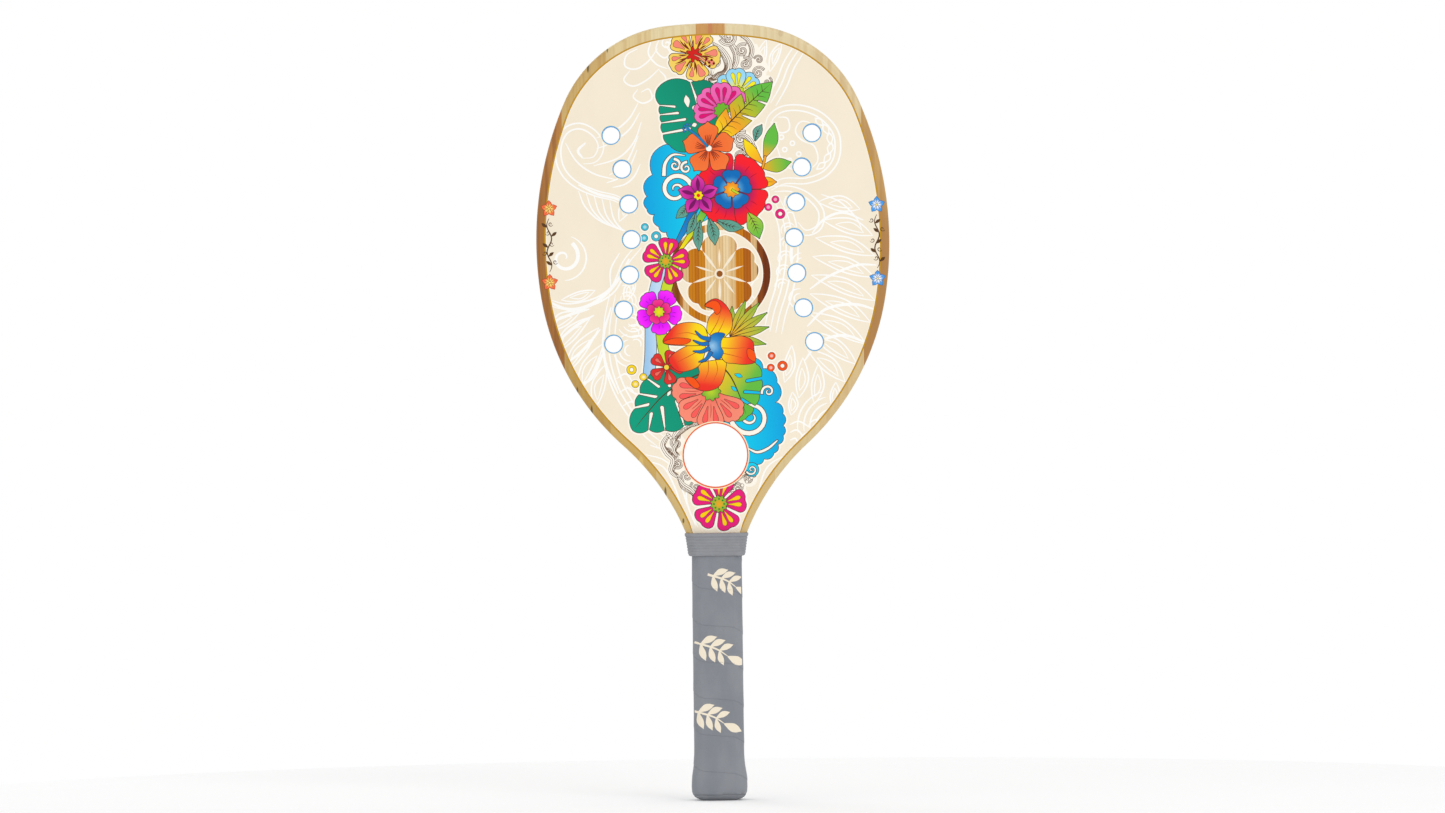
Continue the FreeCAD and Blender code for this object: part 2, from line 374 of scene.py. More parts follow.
def background(sheet):
    """White scrolls, leaves and wave lines over the cream ground."""
    # Upper left: looping tendrils
    for points in ([(-47, 484), (-54, 480), (-55, 473), (-48, 471), (-40, 476), (-34, 484)],
                   [(-52, 470), (-56, 464), (-50, 460), (-41, 464), (-33, 471)],
                   [(-47, 458), (-50, 453), (-44, 449), (-38, 452), (-40, 458), (-45, 456)],
                   [(-38, 489), (-40, 481), (-35, 474), (-28, 471)],
                   [(-33, 490), (-35, 483), (-30, 478), (-26, 481), (-29, 486)],
                   [(-33, 470), (-29, 465), (-31, 458), (-38, 453)]):
        wave_line(sheet, points)
    sheet.paint(stroke(spiral(-28, 487, 3.6, 1.2, 120), 1.2), flat(WHITE))
    # Left: a big acanthus leaf that rolls up at its tip
    echoes(sheet, [(-83, 414), (-76, 415), (-73, 422), (-77, 429), (-85, 433), (-93, 430), (-97, 420), (-95, 408),
                   (-87, 399), (-74, 393), (-60, 389), (-50, 380)], (0, -3.6))
    wave_line(sheet, [(-83, 414), (-86, 419), (-81, 424)], 1.7)
    for points in ([(-94, 424), (-87, 412), (-76, 404), (-62, 400)],
                   [(-47, 449), (-53, 439), (-63, 431), (-74, 427)],
                   [(-46, 443), (-53, 432), (-64, 424), (-74, 420)],
                   [(-45, 437), (-50, 424), (-60, 414), (-76, 409)],
                   [(-47, 428), (-55, 411), (-66, 403)],
                   [(-68, 398), (-60, 401), (-53, 408), (-48, 419)],
                   [(-64, 395), (-56, 397), (-50, 402), (-46, 410)]):
        wave_line(sheet, points)
    for k in range(5):
        wave_line(sheet, [(-86 + 5 * k, 393 - 1.6 * k), (-82 + 4.6 * k, 383 - 2 * k), (-73 + 3.8 * k, 374 - 1.6 * k),
                          (-60 + 2.4 * k, 368 - .8 * k)])
    line_leaf(sheet, (-60, 373), (-50, 388), 7, 1.5)
    # Heavier strokes within the lines
    for points, width in (([(-106, 322), (-94, 317), (-82, 318.5), (-71, 325), (-61, 336), (-54, 349)], 2.4),
                          ([(-80, 317), (-91, 314), (-104, 309)], 1.9), ([(-77, 313), (-89, 306), (-101, 296)], 1.9),
                          ([(-73, 304), (-84, 291), (-94, 283)], 1.9), ([(-70, 292), (-78, 274), (-86, 268)], 1.9),
                          ([(-66, 318), (-71, 300), (-70, 282), (-62, 262)], 1.8),
                          ([(-86, 397), (-74, 391), (-60, 387), (-50, 378)], 1.8),
                          ([(105, 314), (90, 318), (72, 315), (60, 304)], 1.9),
                          ([(100, 292), (84, 298), (68, 294), (58, 282)], 1.9),
                          ([(105, 343), (92, 343), (74, 336), (62, 328)], 1.7),
                          ([(54, 366), (50, 352), (52, 338)], 1.7),
                          ([(97, 372), (84, 377), (72, 373), (64, 364)], 1.7)):
        wave_line(sheet, points, width)
    for k in range(7):
        arcs(sheet, -58 + 1.3 * k, 336 - 7 * k, (3.2, 5.6), -30, 130, .9)
        arcs(sheet, 51 - 1.1 * k, 384 - 9 * k, (2.6, 4.8), 40, 210, .9)
    for k in range(5):
        arcs(sheet, -80 + 5 * k, 247 - 7 * k, (4.2, 7), 20, 150, .9)
        arcs(sheet, 66 - 5.4 * k, 238 - 8.4 * k, (3.6, 6.2), 40, 170, .9)
    # Left rim: a thick spiral, and the stem that runs past it
    sheet.paint(stroke(spiral(-96, 350, 11, -1.25, 60, .1, 50), 2.6, "tail"), flat(WHITE))
    arcs(sheet, -96, 350, (14.5,), -88, 70)
    echoes(sheet, [(-107, 320), (-96, 317), (-84, 318), (-72, 322), (-62, 330), (-55, 345), (-46, 356)], (0, 3.6))
    line_leaf(sheet, (-98, 323), (-76, 329), 6, -1)
    wave_line(sheet, [(-66, 330), (-66, 342), (-60, 353)])
    # Lower left: long leaves that hang from the stem
    for base, tip in (((-86, 315), (-106, 303)), ((-79, 312), (-103, 288)), ((-74, 305), (-97, 274)),
                      ((-71, 295), (-88, 263)), ((-69, 282), (-77, 253))):
        line_leaf(sheet, base, tip, 8.5, -1.8)
    echoes(sheet, [(-63, 326), (-67, 306), (-67, 284), (-60, 262), (-45, 240), (-35, 231)], (-3.8, 0, 3.8))
    arcs(sheet, -52, 309, (3.5, 7, 10.5), -150, 70)
    arcs(sheet, -54, 290, (3.5, 7, 10.5), 100, 270)
    arcs(sheet, -49, 270, (4, 8), -160, 40)
    for k in range(3):
        wave_line(sheet, [(-63 + 1.6 * k, 272 - 9 * k), (-57 + 1.8 * k, 275 - 9 * k), (-53 + 2.4 * k, 270 - 9 * k)])
    line_leaf(sheet, (-57, 321), (-50, 335), 6.5, 1)
    echoes(sheet, [(-46, 219), (-34, 215), (-27, 203), (-22, 188), (-17, 175)], (-4, 0, 4))
    wave_line(sheet, [(-42, 229), (-33, 225), (-27, 216)])
    # Upper right: ribbons and leaves under the rim
    echoes(sheet, [(54, 485), (47, 474), (42, 462), (35, 450)], (0, 3.8, 7.6))
    line_leaf(sheet, (31, 465), (36, 489), 6, 1)
    line_leaf(sheet, (38, 468), (46, 487), 5.5, 1)
    # Right: a large round paisley with cells along its outer side and seeds inside
    echoes(sheet, [(34, 431), (37, 440), (46, 446), (60, 446), (73, 440), (82, 428), (82, 412), (74, 401), (61, 396),
                   (47, 396), (38, 392)], (0, -3.6))
    for angle, size in ((52, 8), (32, 9), (12, 9), (-8, 9), (-28, 9), (-48, 8)):
        spot = turned([(18.5, 0)], angle, (58, 421))[0]
        cell = petal((0, 0), 0, size, 4.4, "pointed") - (size / 2, 0)
        sheet.paint(turned(cell, angle + 84, spot), flat(WHITE))
        sheet.paint(turned(cell * .62, angle + 84, spot), flat(CREAM))
    for points in ([(38, 436), (44, 429), (50, 431), (49, 438), (43, 439)],
                   [(67, 434), (58, 436), (54, 430), (58, 424), (66, 420), (68, 410), (60, 403)],
                   [(42, 420), (46, 409), (54, 404)]):
        wave_line(sheet, points)
    for x, z in ((52, 422), (47, 418), (56, 415), (45, 426), (60, 410), (50, 411)):
        sheet.paint(circle(x, z, 1.9, 16), flat(WHITE))
        sheet.paint(circle(x, z, 0.95, 12), flat(CREAM))
    # Right: a swirl, then leaves that run out to the rim
    echoes(sheet, [(40, 391), (50, 391), (60, 387), (68, 378), (67, 369), (60, 366), (55, 371)], (0, 3.4))
    wave_line(sheet, [(70, 389), (82, 384), (92, 374), (96, 366)])
    for base, tip in (((68, 384), (95, 379)), ((71, 372), (103, 362)), ((66, 361), (104, 349)), ((64, 349), (104, 335)),
                      ((63, 337), (104, 320)), ((62, 325), (101, 306)), ((61, 313), (98, 292)), ((60, 301), (92, 279)),
                      ((60, 289), (84, 268))):
        line_leaf(sheet, base, tip, 9.5, 1.6)
    echoes(sheet, [(40, 385), (46, 370), (47, 350), (44, 330), (39, 314), (36, 301)], (-3.8, 0, 3.8, 7.6))
    arcs(sheet, 57, 345, (3.2, 6.4), 90, 280)
    arcs(sheet, 55, 322, (3.2, 6.4), 80, 280)
    # Lower right: hanging drops and nested curves
    for base, tip, width in (((50, 292), (45, 268), 7), ((57, 284), (54, 258), 8), ((67, 280), (64, 254), 8),
                             ((78, 268), (75, 253), 6), ((50, 262), (49, 247), 6)):
        line_leaf(sheet, base, tip, width, 1)
    arcs(sheet, 76, 240, (11, 15, 19, 23), 105, 190)
    for k in range(4):
        wave_line(sheet, [(48, 241 - 5 * k), (54 - k, 243 - 5.6 * k), (61 - 3.4 * k, 239 - 7.6 * k)])
    echoes(sheet, [(45, 217), (36, 211), (31, 197), (26, 184), (21, 175)], (-4, 1))
    wave_line(sheet, [(-12, 205), (-19, 198), (-17, 186), (-12, 176)])
    wave_line(sheet, [(14, 182), (18, 190), (20, 199)])
    # Inside the wooden ring
    arcs(sheet, -18, 352, (6, 10, 14, 18, 22), -75, 60, 0.8)
    arcs(sheet, 32, 328, (8, 12, 16, 20), 110, 240, 0.8)


def comb(sheet, path, side, reach, count):
    """Fine curved hairs along one side of a path, longest in its middle."""
    out = sideways(path) * side
    for k in range(count):
        i = int((k + .5) * (len(path) - 2) / count)
        way = path[i + 1] - path[i]
        way = way / np.linalg.norm(way)
        far = reach * (0.45 + 0.55 * math.sin(math.pi * (k + .5) / count))
        hair = [path[i] + out[i] * .3, path[i] + out[i] * far * .62 + way * far * .45,
                path[i] + out[i] * far * .8 + way * far * 1.3]
        sheet.paint(stroke(smooth(hair, steps=2), 0.42, "tail"), flat(BROWN))


def curl(sheet, x, z, radius, turns, start, hairs, side):
    """Scroll with a pale band, brown outlines and hairs outside it."""
    path = spiral(x, z, radius, turns, start, 0.12, 20 + int(16 * abs(turns)))
    sheet.halos.append((circle(x, z, radius + 1.2), flat(HALO)))
    comb(sheet, path[:len(path) * 2 // 3], -side, radius * .42, hairs)
    sheet.figure(stroke(path, radius * 0.3, "tail"), flat(HALO), 0.36, BROWN)
    sheet.paint(stroke(path, 0.4, "tail"), flat(BROWN))


def sweep(sheet, points, width, hairs, reach, side):
    """Long pale band with brown edges and hairs along one side."""
    path = smooth(points, steps=6)
    sheet.halos.append((grow(stroke(path, width + 2), .5), flat(HALO)))
    comb(sheet, path, side, reach, hairs)
    sheet.figure(stroke(path, width), flat(HALO), 0.34, BROWN)
    sheet.paint(stroke(path, 0.4), flat(BROWN))


def filigree(sheet):
    """Brown scrollwork behind the flowers and beside the throat hole."""
    sheet.halos.append((np.array([(2, 492), (30, 486), (38, 470), (30, 462), (-2, 460)]), flat(HALO)))
    sweep(sheet, [(18, 493), (24, 489), (27, 483), (25.5, 477), (21, 474)], 1.7, 24, 3.0, -1)
    sweep(sheet, [(6, 493), (12, 488.5), (16.4, 482), (17, 475), (14, 469)], 2.1, 34, 4.2, -1)
    sweep(sheet, [(2, 487), (8, 482.5), (12, 476), (12.2, 470.5), (9, 466), (3.5, 462), (-1.5, 461.5), (-2.8, 464.5),
                  (.5, 466)],
          2.4, 64, 8.0, -1)
    sweep(sheet, [(14, 428.5), (21.5, 427.5), (26.5, 422), (25.5, 415), (19, 410), (13, 409)], 2.0, 44, 6.5, -1)
    sweep(sheet, [(16, 421), (20.5, 419.5), (22, 415)], 1.3, 14, 3.2, -1)
    for x, z, radius, turns, start, hairs in (
            (20.5, 482, 4.6, 1.5, 60, 10), (22.3, 473.5, 4.4, -1.5, 100, 10), (30.5, 467.5, 4.2, 1.5, 30, 10),
            (12, 491, 6, 1.4, 200, 16), (36.5, 461.5, 3.2, -1.3, 60, 6), (3.4, 475.5, 5, 1.4, 90, 14),
            (26, 464, 3.2, 1.3, 250, 6), (31, 476, 3, -1.3, 160, 6), (19, 425, 5.4, 1.5, 60, 14),
            (25, 417.5, 4.6, -1.5, 120, 12), (18, 414, 3.8, 1.4, 20, 8), (24, 409, 3, 1.3, 200, 6),
            (-25, 230, 4.6, 1.4, 60, 12), (-30, 225, 3.4, -1.4, 20, 8), (-24, 217, 4.4, 1.5, 110, 12),
            (-18.5, 208.5, 4.2, -1.5, 230, 10), (-13, 201.5, 3.6, 1.4, 130, 8), (21.5, 206.5, 4, 1.5, 20, 10),
            (14.5, 200.5, 3.8, -1.5, 190, 8)):
        curl(sheet, x, z, radius, turns, start, hairs, 1 if turns < 0 else -1)
    sweep(sheet, [(-9, 243.5), (-16, 243), (-23, 239.5), (-27.5, 233.5)], 2.6, 40, 6.0, 1)
    sweep(sheet, [(-30, 236), (-34, 229.5), (-31.5, 223.5), (-27.5, 219), (-29, 212.5), (-25, 208)], 2.2, 44, 4.4, 1)
    sweep(sheet, [(-24, 231), (-27, 226), (-25, 221.5)], 1.7, 16, 3.6, 1)
    sweep(sheet, [(-24, 208), (-21, 203.5), (-16, 200), (-12.5, 196)], 2.0, 26, 3.8, -1)
    for k in range(6):
        sheet.figure(circle(-33.2 + .9 * k, 239 - 1.1 * k * (k > 2), .8, 12), flat(HALO), .3, BROWN)
    sweep(sheet, [(8.5, 198), (13, 206), (19, 210.5), (26, 212)], 1.5, 18, 3, -1)
    for k in range(5):
        sheet.figure(circle(11 + 3 * k, 197.5 + 2.4 * k, .9, 12), flat(HALO), .3, BROWN)


def clouds(sheet):
    """Scalloped clouds with wound bands inside."""
    left = [(-12, 424), (-27.4, 422.5), (-38.1, 402.6), (-41.8, 388.8), (-42, 381), (-37, 377.5), (-34.5, 369.5),
            (-29.6, 366), (-24, 361), (-17, 362), (-8, 372), (0, 390), (0, 412)]
    sheet.motif([(scalloped(left, 0.27), along((-44, 390), (-8, 390), DEEP_SKY, SKY))])
    scroll_band(sheet, smooth([(-31, 402), (-30, 410), (-25, 415.5), (-17, 415)], steps=6), 2.4, "tail")
    scroll_band(sheet, spiral(-23.4, 393.1, 11.6, 1.6, 335, .14), 3.0)
    scroll_band(sheet, spiral(-23.8, 408.7, 4.2, -1.35, 100), 1.7)
    scroll_band(sheet, spiral(-16.6, 406.9, 4.0, 1.35, 80), 1.6)
    right = [(12, 284), (8, 268), (8, 246), (12, 226), (20, 215), (26, 216), (31, 219.5), (37.5, 223), (40, 228.5),
             (43.4, 234), (43.4, 240.5), (43.4, 248), (38.7, 255.3), (40, 268), (31, 277), (24, 284)]
    sheet.motif([(scalloped(right, 0.26), along((46, 240), (12, 240), DEEP_SKY, SKY))])
    scroll_band(sheet, spiral(23, 246.5, 13, 1.6, 190, .14), 3.0)
    scroll_band(sheet, smooth([(40, 231), (34, 226), (27, 223.5), (21, 226)], steps=5), 1.6, "taper")
    scroll_band(sheet, spiral(34.5, 262.5, 4.4, -1.3, 200), 1.5)
    sheet.motif([(circle(23.2, 212.4, 4.4, 30), flat(SKY))])
    scroll_band(sheet, spiral(23.2, 212.4, 3.6, 1.3, 200), 1.1)


def striped(x, radius):
    """Wood in upright stripes across a window: colour by distance from its middle line."""
    wide = [(-1, (150, 84, 22)), (-.9, (132, 66, 12)), (-.8, (182, 110, 36)), (-.73, (226, 188, 132)),
            (-.63, (204, 126, 12)), (-.5, (192, 112, 10)), (-.4, (206, 130, 14)), (-.3, (238, 208, 156)),
            (-.12, (230, 194, 138)), (.06, (240, 212, 164)), (.2, (228, 190, 132)), (.31, (206, 126, 12)),
            (.45, (180, 98, 10)), (.61, (224, 184, 128)), (.73, (136, 66, 12)), (.86, (112, 48, 8))]
    starts, tones = zip(*wide)
    edges = np.arange(-1, 1.001, 0.03)
    boards = np.searchsorted(starts, edges + 1e-6, side="right") - 1
    inks = np.array([ink(*tones[b]) for b in boards])
    inks[1::2] *= 0.86

    def grain(points):
        return inks[np.clip(((points[:, 0] - x) / radius + 1) / 0.03, 0, len(inks) - 1).astype(int)]

    return grain, [x + radius * e for e in edges[1:-1]]


def wood_ring(sheet, x, z, radius):
    """Window with a five-petalled blossom, both showing the striped wood."""
    grain, lines = striped(x, radius)
    grain.lines = [np.array([(e, z - math.sqrt(radius ** 2 - (e - x) ** 2)),
                             (e, z + math.sqrt(radius ** 2 - (e - x) ** 2))])
                   for e in lines]
    sheet.paint(ring(x, z, radius + 0.7, radius - 5.3, 72), flat(HALO))
    sheet.paint(ring(x, z, radius, radius - 4.6, 72), grain)
    petals = [petal((x, z), angle, radius * 0.76, radius * 0.66, "broad", 1) for angle in range(18, 378, 72)]
    for outline in petals:
        sheet.paint(grow(outline, 0.7), flat(HALO))
    for outline in petals:
        sheet.paint(outline, grain)
    for angle in range(18, 378, 72):
        sheet.paint(petal((x, z), angle, radius * 0.5, 1.3, "pointed", 4), flat(CREAM))
        sheet.paint(petal((x, z), angle + 36, radius * 0.56, 1.7, "pointed", 3), flat(CREAM))
    sheet.paint(circle(x, z, 3.3), flat(CREAM))
    sheet.paint(circle(x, z, 2.0), flat(ink(150, 84, 20)))


def open_flower(sheet, centre, angles, radius, width, shape, fill, line=0.42):
    """Separate petals, the later ones over the earlier ones."""
    sheet.motif([(petal(centre, a, radius, width, shape, radius * .05), fill) for a in angles], line)


def hibiscus(sheet, centre, radius):
    x, z = centre
    angles = (280, 208, 352, 136, 64)
    yellow = glow(centre, radius, ink(250, 190, 50), ink(250, 208, 84), ink(249, 214, 104))
    open_flower(sheet, centre, angles, radius, radius * .8, "lobed", yellow)
    for angle in angles:
        marks(sheet, centre, (angle + 12,), radius * .42, radius * .88, 4.3, ink(250, 138, 118), "round")
        marks(sheet, centre, (angle - 17,), radius * .5, radius * .84, 2.6, ink(250, 138, 118), "round")
        for turn, far in ((-3, .8), (-9, .62), (26, .58), (-28, .6)):
            sheet.paint(petal(centre, angle + turn, radius * far, 1.0, "pointed", radius * .24, .5),
                        flat(ink(128, 44, 22)))
    sheet.figure(rosette(x, z, radius * .23, 7, .3), flat(ink(214, 26, 22)))
    sheet.figure(stroke(smooth([(x, z), (x + 4, z - 1.8), (x + 7, z - 4.5)], steps=4), 1.2, "grow"),
                 flat(ink(252, 160, 130)))
    for dx, dz in ((8, -3), (9.8, -5.2), (7.2, -6.2), (11.4, -3.6), (10, -7.4), (12.8, -5.8)):
        sheet.paint(circle(x + dx, z + dz, .85, 12), flat(ink(120, 10, 10)))


def pink_flower(sheet, centre, radius, turn):
    """Round pink petals with two yellow drops each and a dotted green heart."""
    shade = glow(centre, radius, ink(140, 50, 80), ink(226, 24, 116), PINK, PINK)
    angles = [turn + 72 * i for i in range(5)]
    open_flower(sheet, centre, angles, radius, radius * .84, "club", shade)
    for angle in angles:
        marks(sheet, centre, (angle + 10, angle - 10), radius * .34, radius * .84, radius * .16, ink(255, 208, 0))
    sheet.figure(rosette(*centre, radius * .29, 11, .1), glow(centre, radius * .3, ORANGE, ink(120, 184, 50)))
    for k in range(8):
        spot = turned([(radius * .19, 0)], 45 * k, centre)[0]
        sheet.paint(circle(*spot, radius * .04, 10), flat(ink(20, 150, 50)))


def half_flower(sheet, centre, radius, angles, width, fill, drop, heart):
    """Petals fanned out to one side, the rest lying under other leaves."""
    sheet.motif([(petal(centre, a, radius, width, "broad", 1), fill) for a in angles])
    for angle in angles:
        marks(sheet, centre, (angle + 10, angle - 10), radius * .36, radius * .84, width * .2, drop)
    sheet.figure(rosette(*centre, radius * .26, 9, .12), flat(heart))


def banana_leaf(sheet, base, tip, width):
    """Long oval leaf with four notches in its edge and close veins."""
    way = np.subtract(tip, base)
    length, angle = np.linalg.norm(way), math.degrees(math.atan2(way[1], way[0]))
    half = smooth([(0, .2), (.12, .42), (.36, .5), (.62, .48), (.8, .36), (.93, .14), (1, 0)], steps=4)
    u, v = half[:, 0] * length, half[:, 1] * width
    outline = np.vstack([np.stack([u, v], 1), np.stack([u, -v], 1)[::-1]])
    cuts = [((share * length, side * width * .5), np.array(((share - .07) * length, side * width * .14)), 1.9)
            for share, side in ((.34, 1), (.62, 1), (.48, -1), (.76, -1))]
    fill = along(base, tip, YELLOW, ORANGE, ink(186, 190, 40), GREEN, GREEN)
    sheet.motif([(turned(slit(outline, cuts), angle, base), fill)])
    sheet.paint(stroke(turned(smooth([(0, 0), (length * .5, .6), (length * .96, 0)], steps=4), angle, base), .9,
                       "tail"), flat(LINE))
    for i in range(10):
        u = length * (.08 + .082 * i)
        for side in (-1, 1):
            vein = [(u, 0), (u + 2.0, side * width * .16), (u + 2.8, side * width * .33 * (1.15 - .05 * i))]
            sheet.paint(stroke(turned(smooth(vein, steps=2), angle, base), .42, "tail"), flat(LINE))


def monstera(sheet, points, fill, cuts, holes, rib, gap=None):
    """Broad leaf: corners of its lobes, slits from its edge, holes (x, z, length, width, angle) and a middle rib."""
    cuts = [(near, np.array(end, float), width) for near, end, width in cuts]
    outline = slit(scalloped(points, 0.2), cuts, 0.5, 0.68)
    sheet.motif([(outline, fill)])
    for x, z, length, width, angle in holes:
        hole = petal((0, 0), 0, length, width, "pointed") - (length / 2, 0)
        sheet.figure(turned(hole, angle, (x, z)), flat(gap or HALO), 0.3)
    if rib:
        sheet.paint(stroke(smooth(rib, steps=5), 1.1, "tail"), flat(ink(70, 70, 40)))


def upper_bouquet(sheet):
    monstera(sheet, [(4, 458), (-13, 461.5), (-34, 458.5), (-32.4, 447.5), (-32.2, 441.4), (-31.4, 436.3),
                     (-30.6, 429.4), (-27, 422), (-12, 419), (4, 426), (8, 444)],
             along((-32, 430), (4, 452), TEAL, ink(0, 134, 104)),
             [((-32.4, 447.5), (-23.5, 446.5), 1.6), ((-32.2, 441.4), (-21.5, 442.4), 1.7),
              ((-31.4, 436.3), (-17, 438.2), 1.8), ((-30.6, 429.4), (-14, 432.2), 1.8),
              ((-13, 461.5), (-8.5, 448.5), 2.0)],
             [(-15.5, 450, 8, 3.6, 100), (-10.9, 445.6, 3.6, 2.6, 80), (-10.9, 434.6, 3.4, 2.6, 20)], None)
    half_flower(sheet, (17.2, 455), 15.5, (150, 40, 95), 12, glow((17.2, 455), 15, YELLOW, ink(232, 232, 110),
                                                                  ink(160, 222, 248), ink(150, 216, 246)),
                ink(252, 240, 30), LIME)
    half_flower(sheet, (7, 443.5), 18, (185, 45, 140, 92), 13,
                glow((7, 443.5), 18, ink(206, 30, 130), ink(240, 96, 176), ink(242, 110, 184)), ink(226, 0, 118),
                ink(110, 184, 44))
    hibiscus(sheet, (-10.7, 479.8), 17)
    banana_leaf(sheet, (4.5, 428.5), (39.5, 461.5), 17)
    leaf(sheet, (33.8, 413), (40.5, 435), 8.5, along((34, 413), (40, 432), ORANGE, GREEN, GREEN), -1, 0)
    leaf(sheet, (32.5, 409.5), (20.6, 425.3), 6.5, along((32, 410), (22, 424), ORANGE, YELLOW), .8, 0)
    leaf(sheet, (32, 406.8), (51, 410), 8.5, along((32, 407), (48, 410), ORANGE, ink(170, 190, 50), GREEN), -.5, 0)
    leaf(sheet, (29, 396.3), (41.5, 397.2), 6, along((29, 396), (40, 397), YELLOW, ORANGE), .6, 2)
    sheet.figure(stroke(smooth([(34.5, 414), (32, 405), (27.5, 397)], steps=4), 1.2, "even"), flat(ORANGE))
    leaf(sheet, (28, 424), (32.5, 434.2), 5.5, flat(LEAF_TEAL), .8, 3)
    centre = (12.6, 392.7)
    shade = glow(centre, 22, ink(110, 20, 130), ink(124, 20, 126), ink(150, 18, 116), ink(196, 22, 86),
                 ink(246, 26, 46), RED)
    angles = (200, 245, 318, 128, 42)
    open_flower(sheet, centre, angles, 23.4, 26, "lobed", shade)
    hairlines(sheet, centre, [a + d for a in angles for d in (-10, 10)], 14, 19, ink(170, 0, 50), .4)
    inner = glow(centre, 12.5, ink(150, 206, 236), ink(90, 172, 222), BLUE, BLUE)
    open_flower(sheet, centre, (234, 306, 18, 162, 90), 12.5, 11.6, "club", inner)
    sheet.figure(rosette(*centre, 4.6, 9, .12), glow(centre, 5, ink(252, 220, 60), ORANGE, ink(240, 140, 40)))
    sheet.figure(stroke([centre, (15, 391.2), (17, 390)], 1.3, "even"), flat(LIME), .25)
    centre = (-1.8, 419.4)
    orange = glow(centre, 17, ink(232, 84, 36), ink(246, 112, 50), ink(248, 122, 56))
    open_flower(sheet, centre, (308, 236, 20, 164, 92), 17.2, 12.6, "kite", orange)
    hairlines(sheet, centre, [92 + 72 * i + d for i in range(5) for d in (-13, -4.5, 4.5, 13)], 2.4, 9,
              ink(110, 30, 20), .48)
    sheet.figure(circle(*centre, 1.9, 18), flat(HALO), .3)
    blue = flat(ink(20, 130, 190))
    sheet.figure(stroke(smooth([(-2.6, 420.6), (-9, 427.5), (-15, 432)], steps=4), 1.3, "even"), blue, .25)
    for angle in (70, 105, 140, 175, 210):
        end = turned([(3.0, 0)], angle, (-15, 432))[0]
        sheet.paint(stroke([(-15, 432), tuple(end)], .6, "even"), blue)
        sheet.figure(circle(*end, .75, 12), blue, .2)
    dark = flat(LEAF_TEAL)
    for base, tip, width, bend in (((-15, 384.5), (-23.4, 374.8), 6.2, 1), ((-8, 373), (-9, 353.5), 6.2, -1),
                                   ((-2.2, 374), (1.4, 357.2), 7.2, .8), ((3, 373), (20, 368), 7, -1.2),
                                   ((-11, 378), (-16.5, 364), 5.2, .8)):
        leaf(sheet, base, tip, width, dark, bend, 4)
    leaf(sheet, (23, 377.5), (30, 361), 10, along((23, 377), (30, 362), ink(176, 206, 60), GREEN), .8, 4)
    centre = (-8.9, 389.2)
    star = glow(centre, 13, ink(120, 10, 120), ink(196, 34, 156), ink(226, 60, 170))
    open_flower(sheet, centre, (20, 308, 236, 164, 92), 13.3, 8.6, "pointed", star)
    for angle in (20, 308, 236, 164, 92):
        sheet.paint(petal(centre, angle, 11.6, 2.6, "pointed", 2.4), flat(ink(120, 6, 96)))
    sheet.figure(rosette(*centre, 2.7, 7, .15), flat(YELLOW))
    sheet.figure(circle(*centre, .9, 12), flat(RED), .2)


def ribbons(sheet):
    """Bands of colour that hang from the flowers on both sides of the window."""
    sheet.motif([(stroke(smooth([(-10, 384), (-17, 370), (-27, 352)]), 5.0, "tail"),
                  along((-12, 380), (-24, 352), BLUE, ink(30, 150, 220)))])
    sheet.motif([(stroke(smooth([(-4.5, 380), (-13, 366), (-24, 350)]), 4.6, "tail"),
                  along((-6, 378), (-20, 356), GREEN, LIME, YELLOW))])
    pale = along((-44, 300), (-36, 300), ink(156, 200, 236), ink(196, 222, 246))
    sheet.motif([(stroke(smooth([(-31, 346), (-35.4, 336), (-40, 316), (-40.6, 299), (-41, 286), (-42.4, 272)]), 7.2,
                         "even"), pale)])
    lime = along((-38, 300), (-26, 300), LIME, ink(210, 224, 50))
    sheet.motif([(stroke(smooth([(-25, 345), (-30, 330), (-33.4, 312), (-33.6, 297), (-30, 282), (-22, 268)]), 6.6,
                         "even"), lime)])


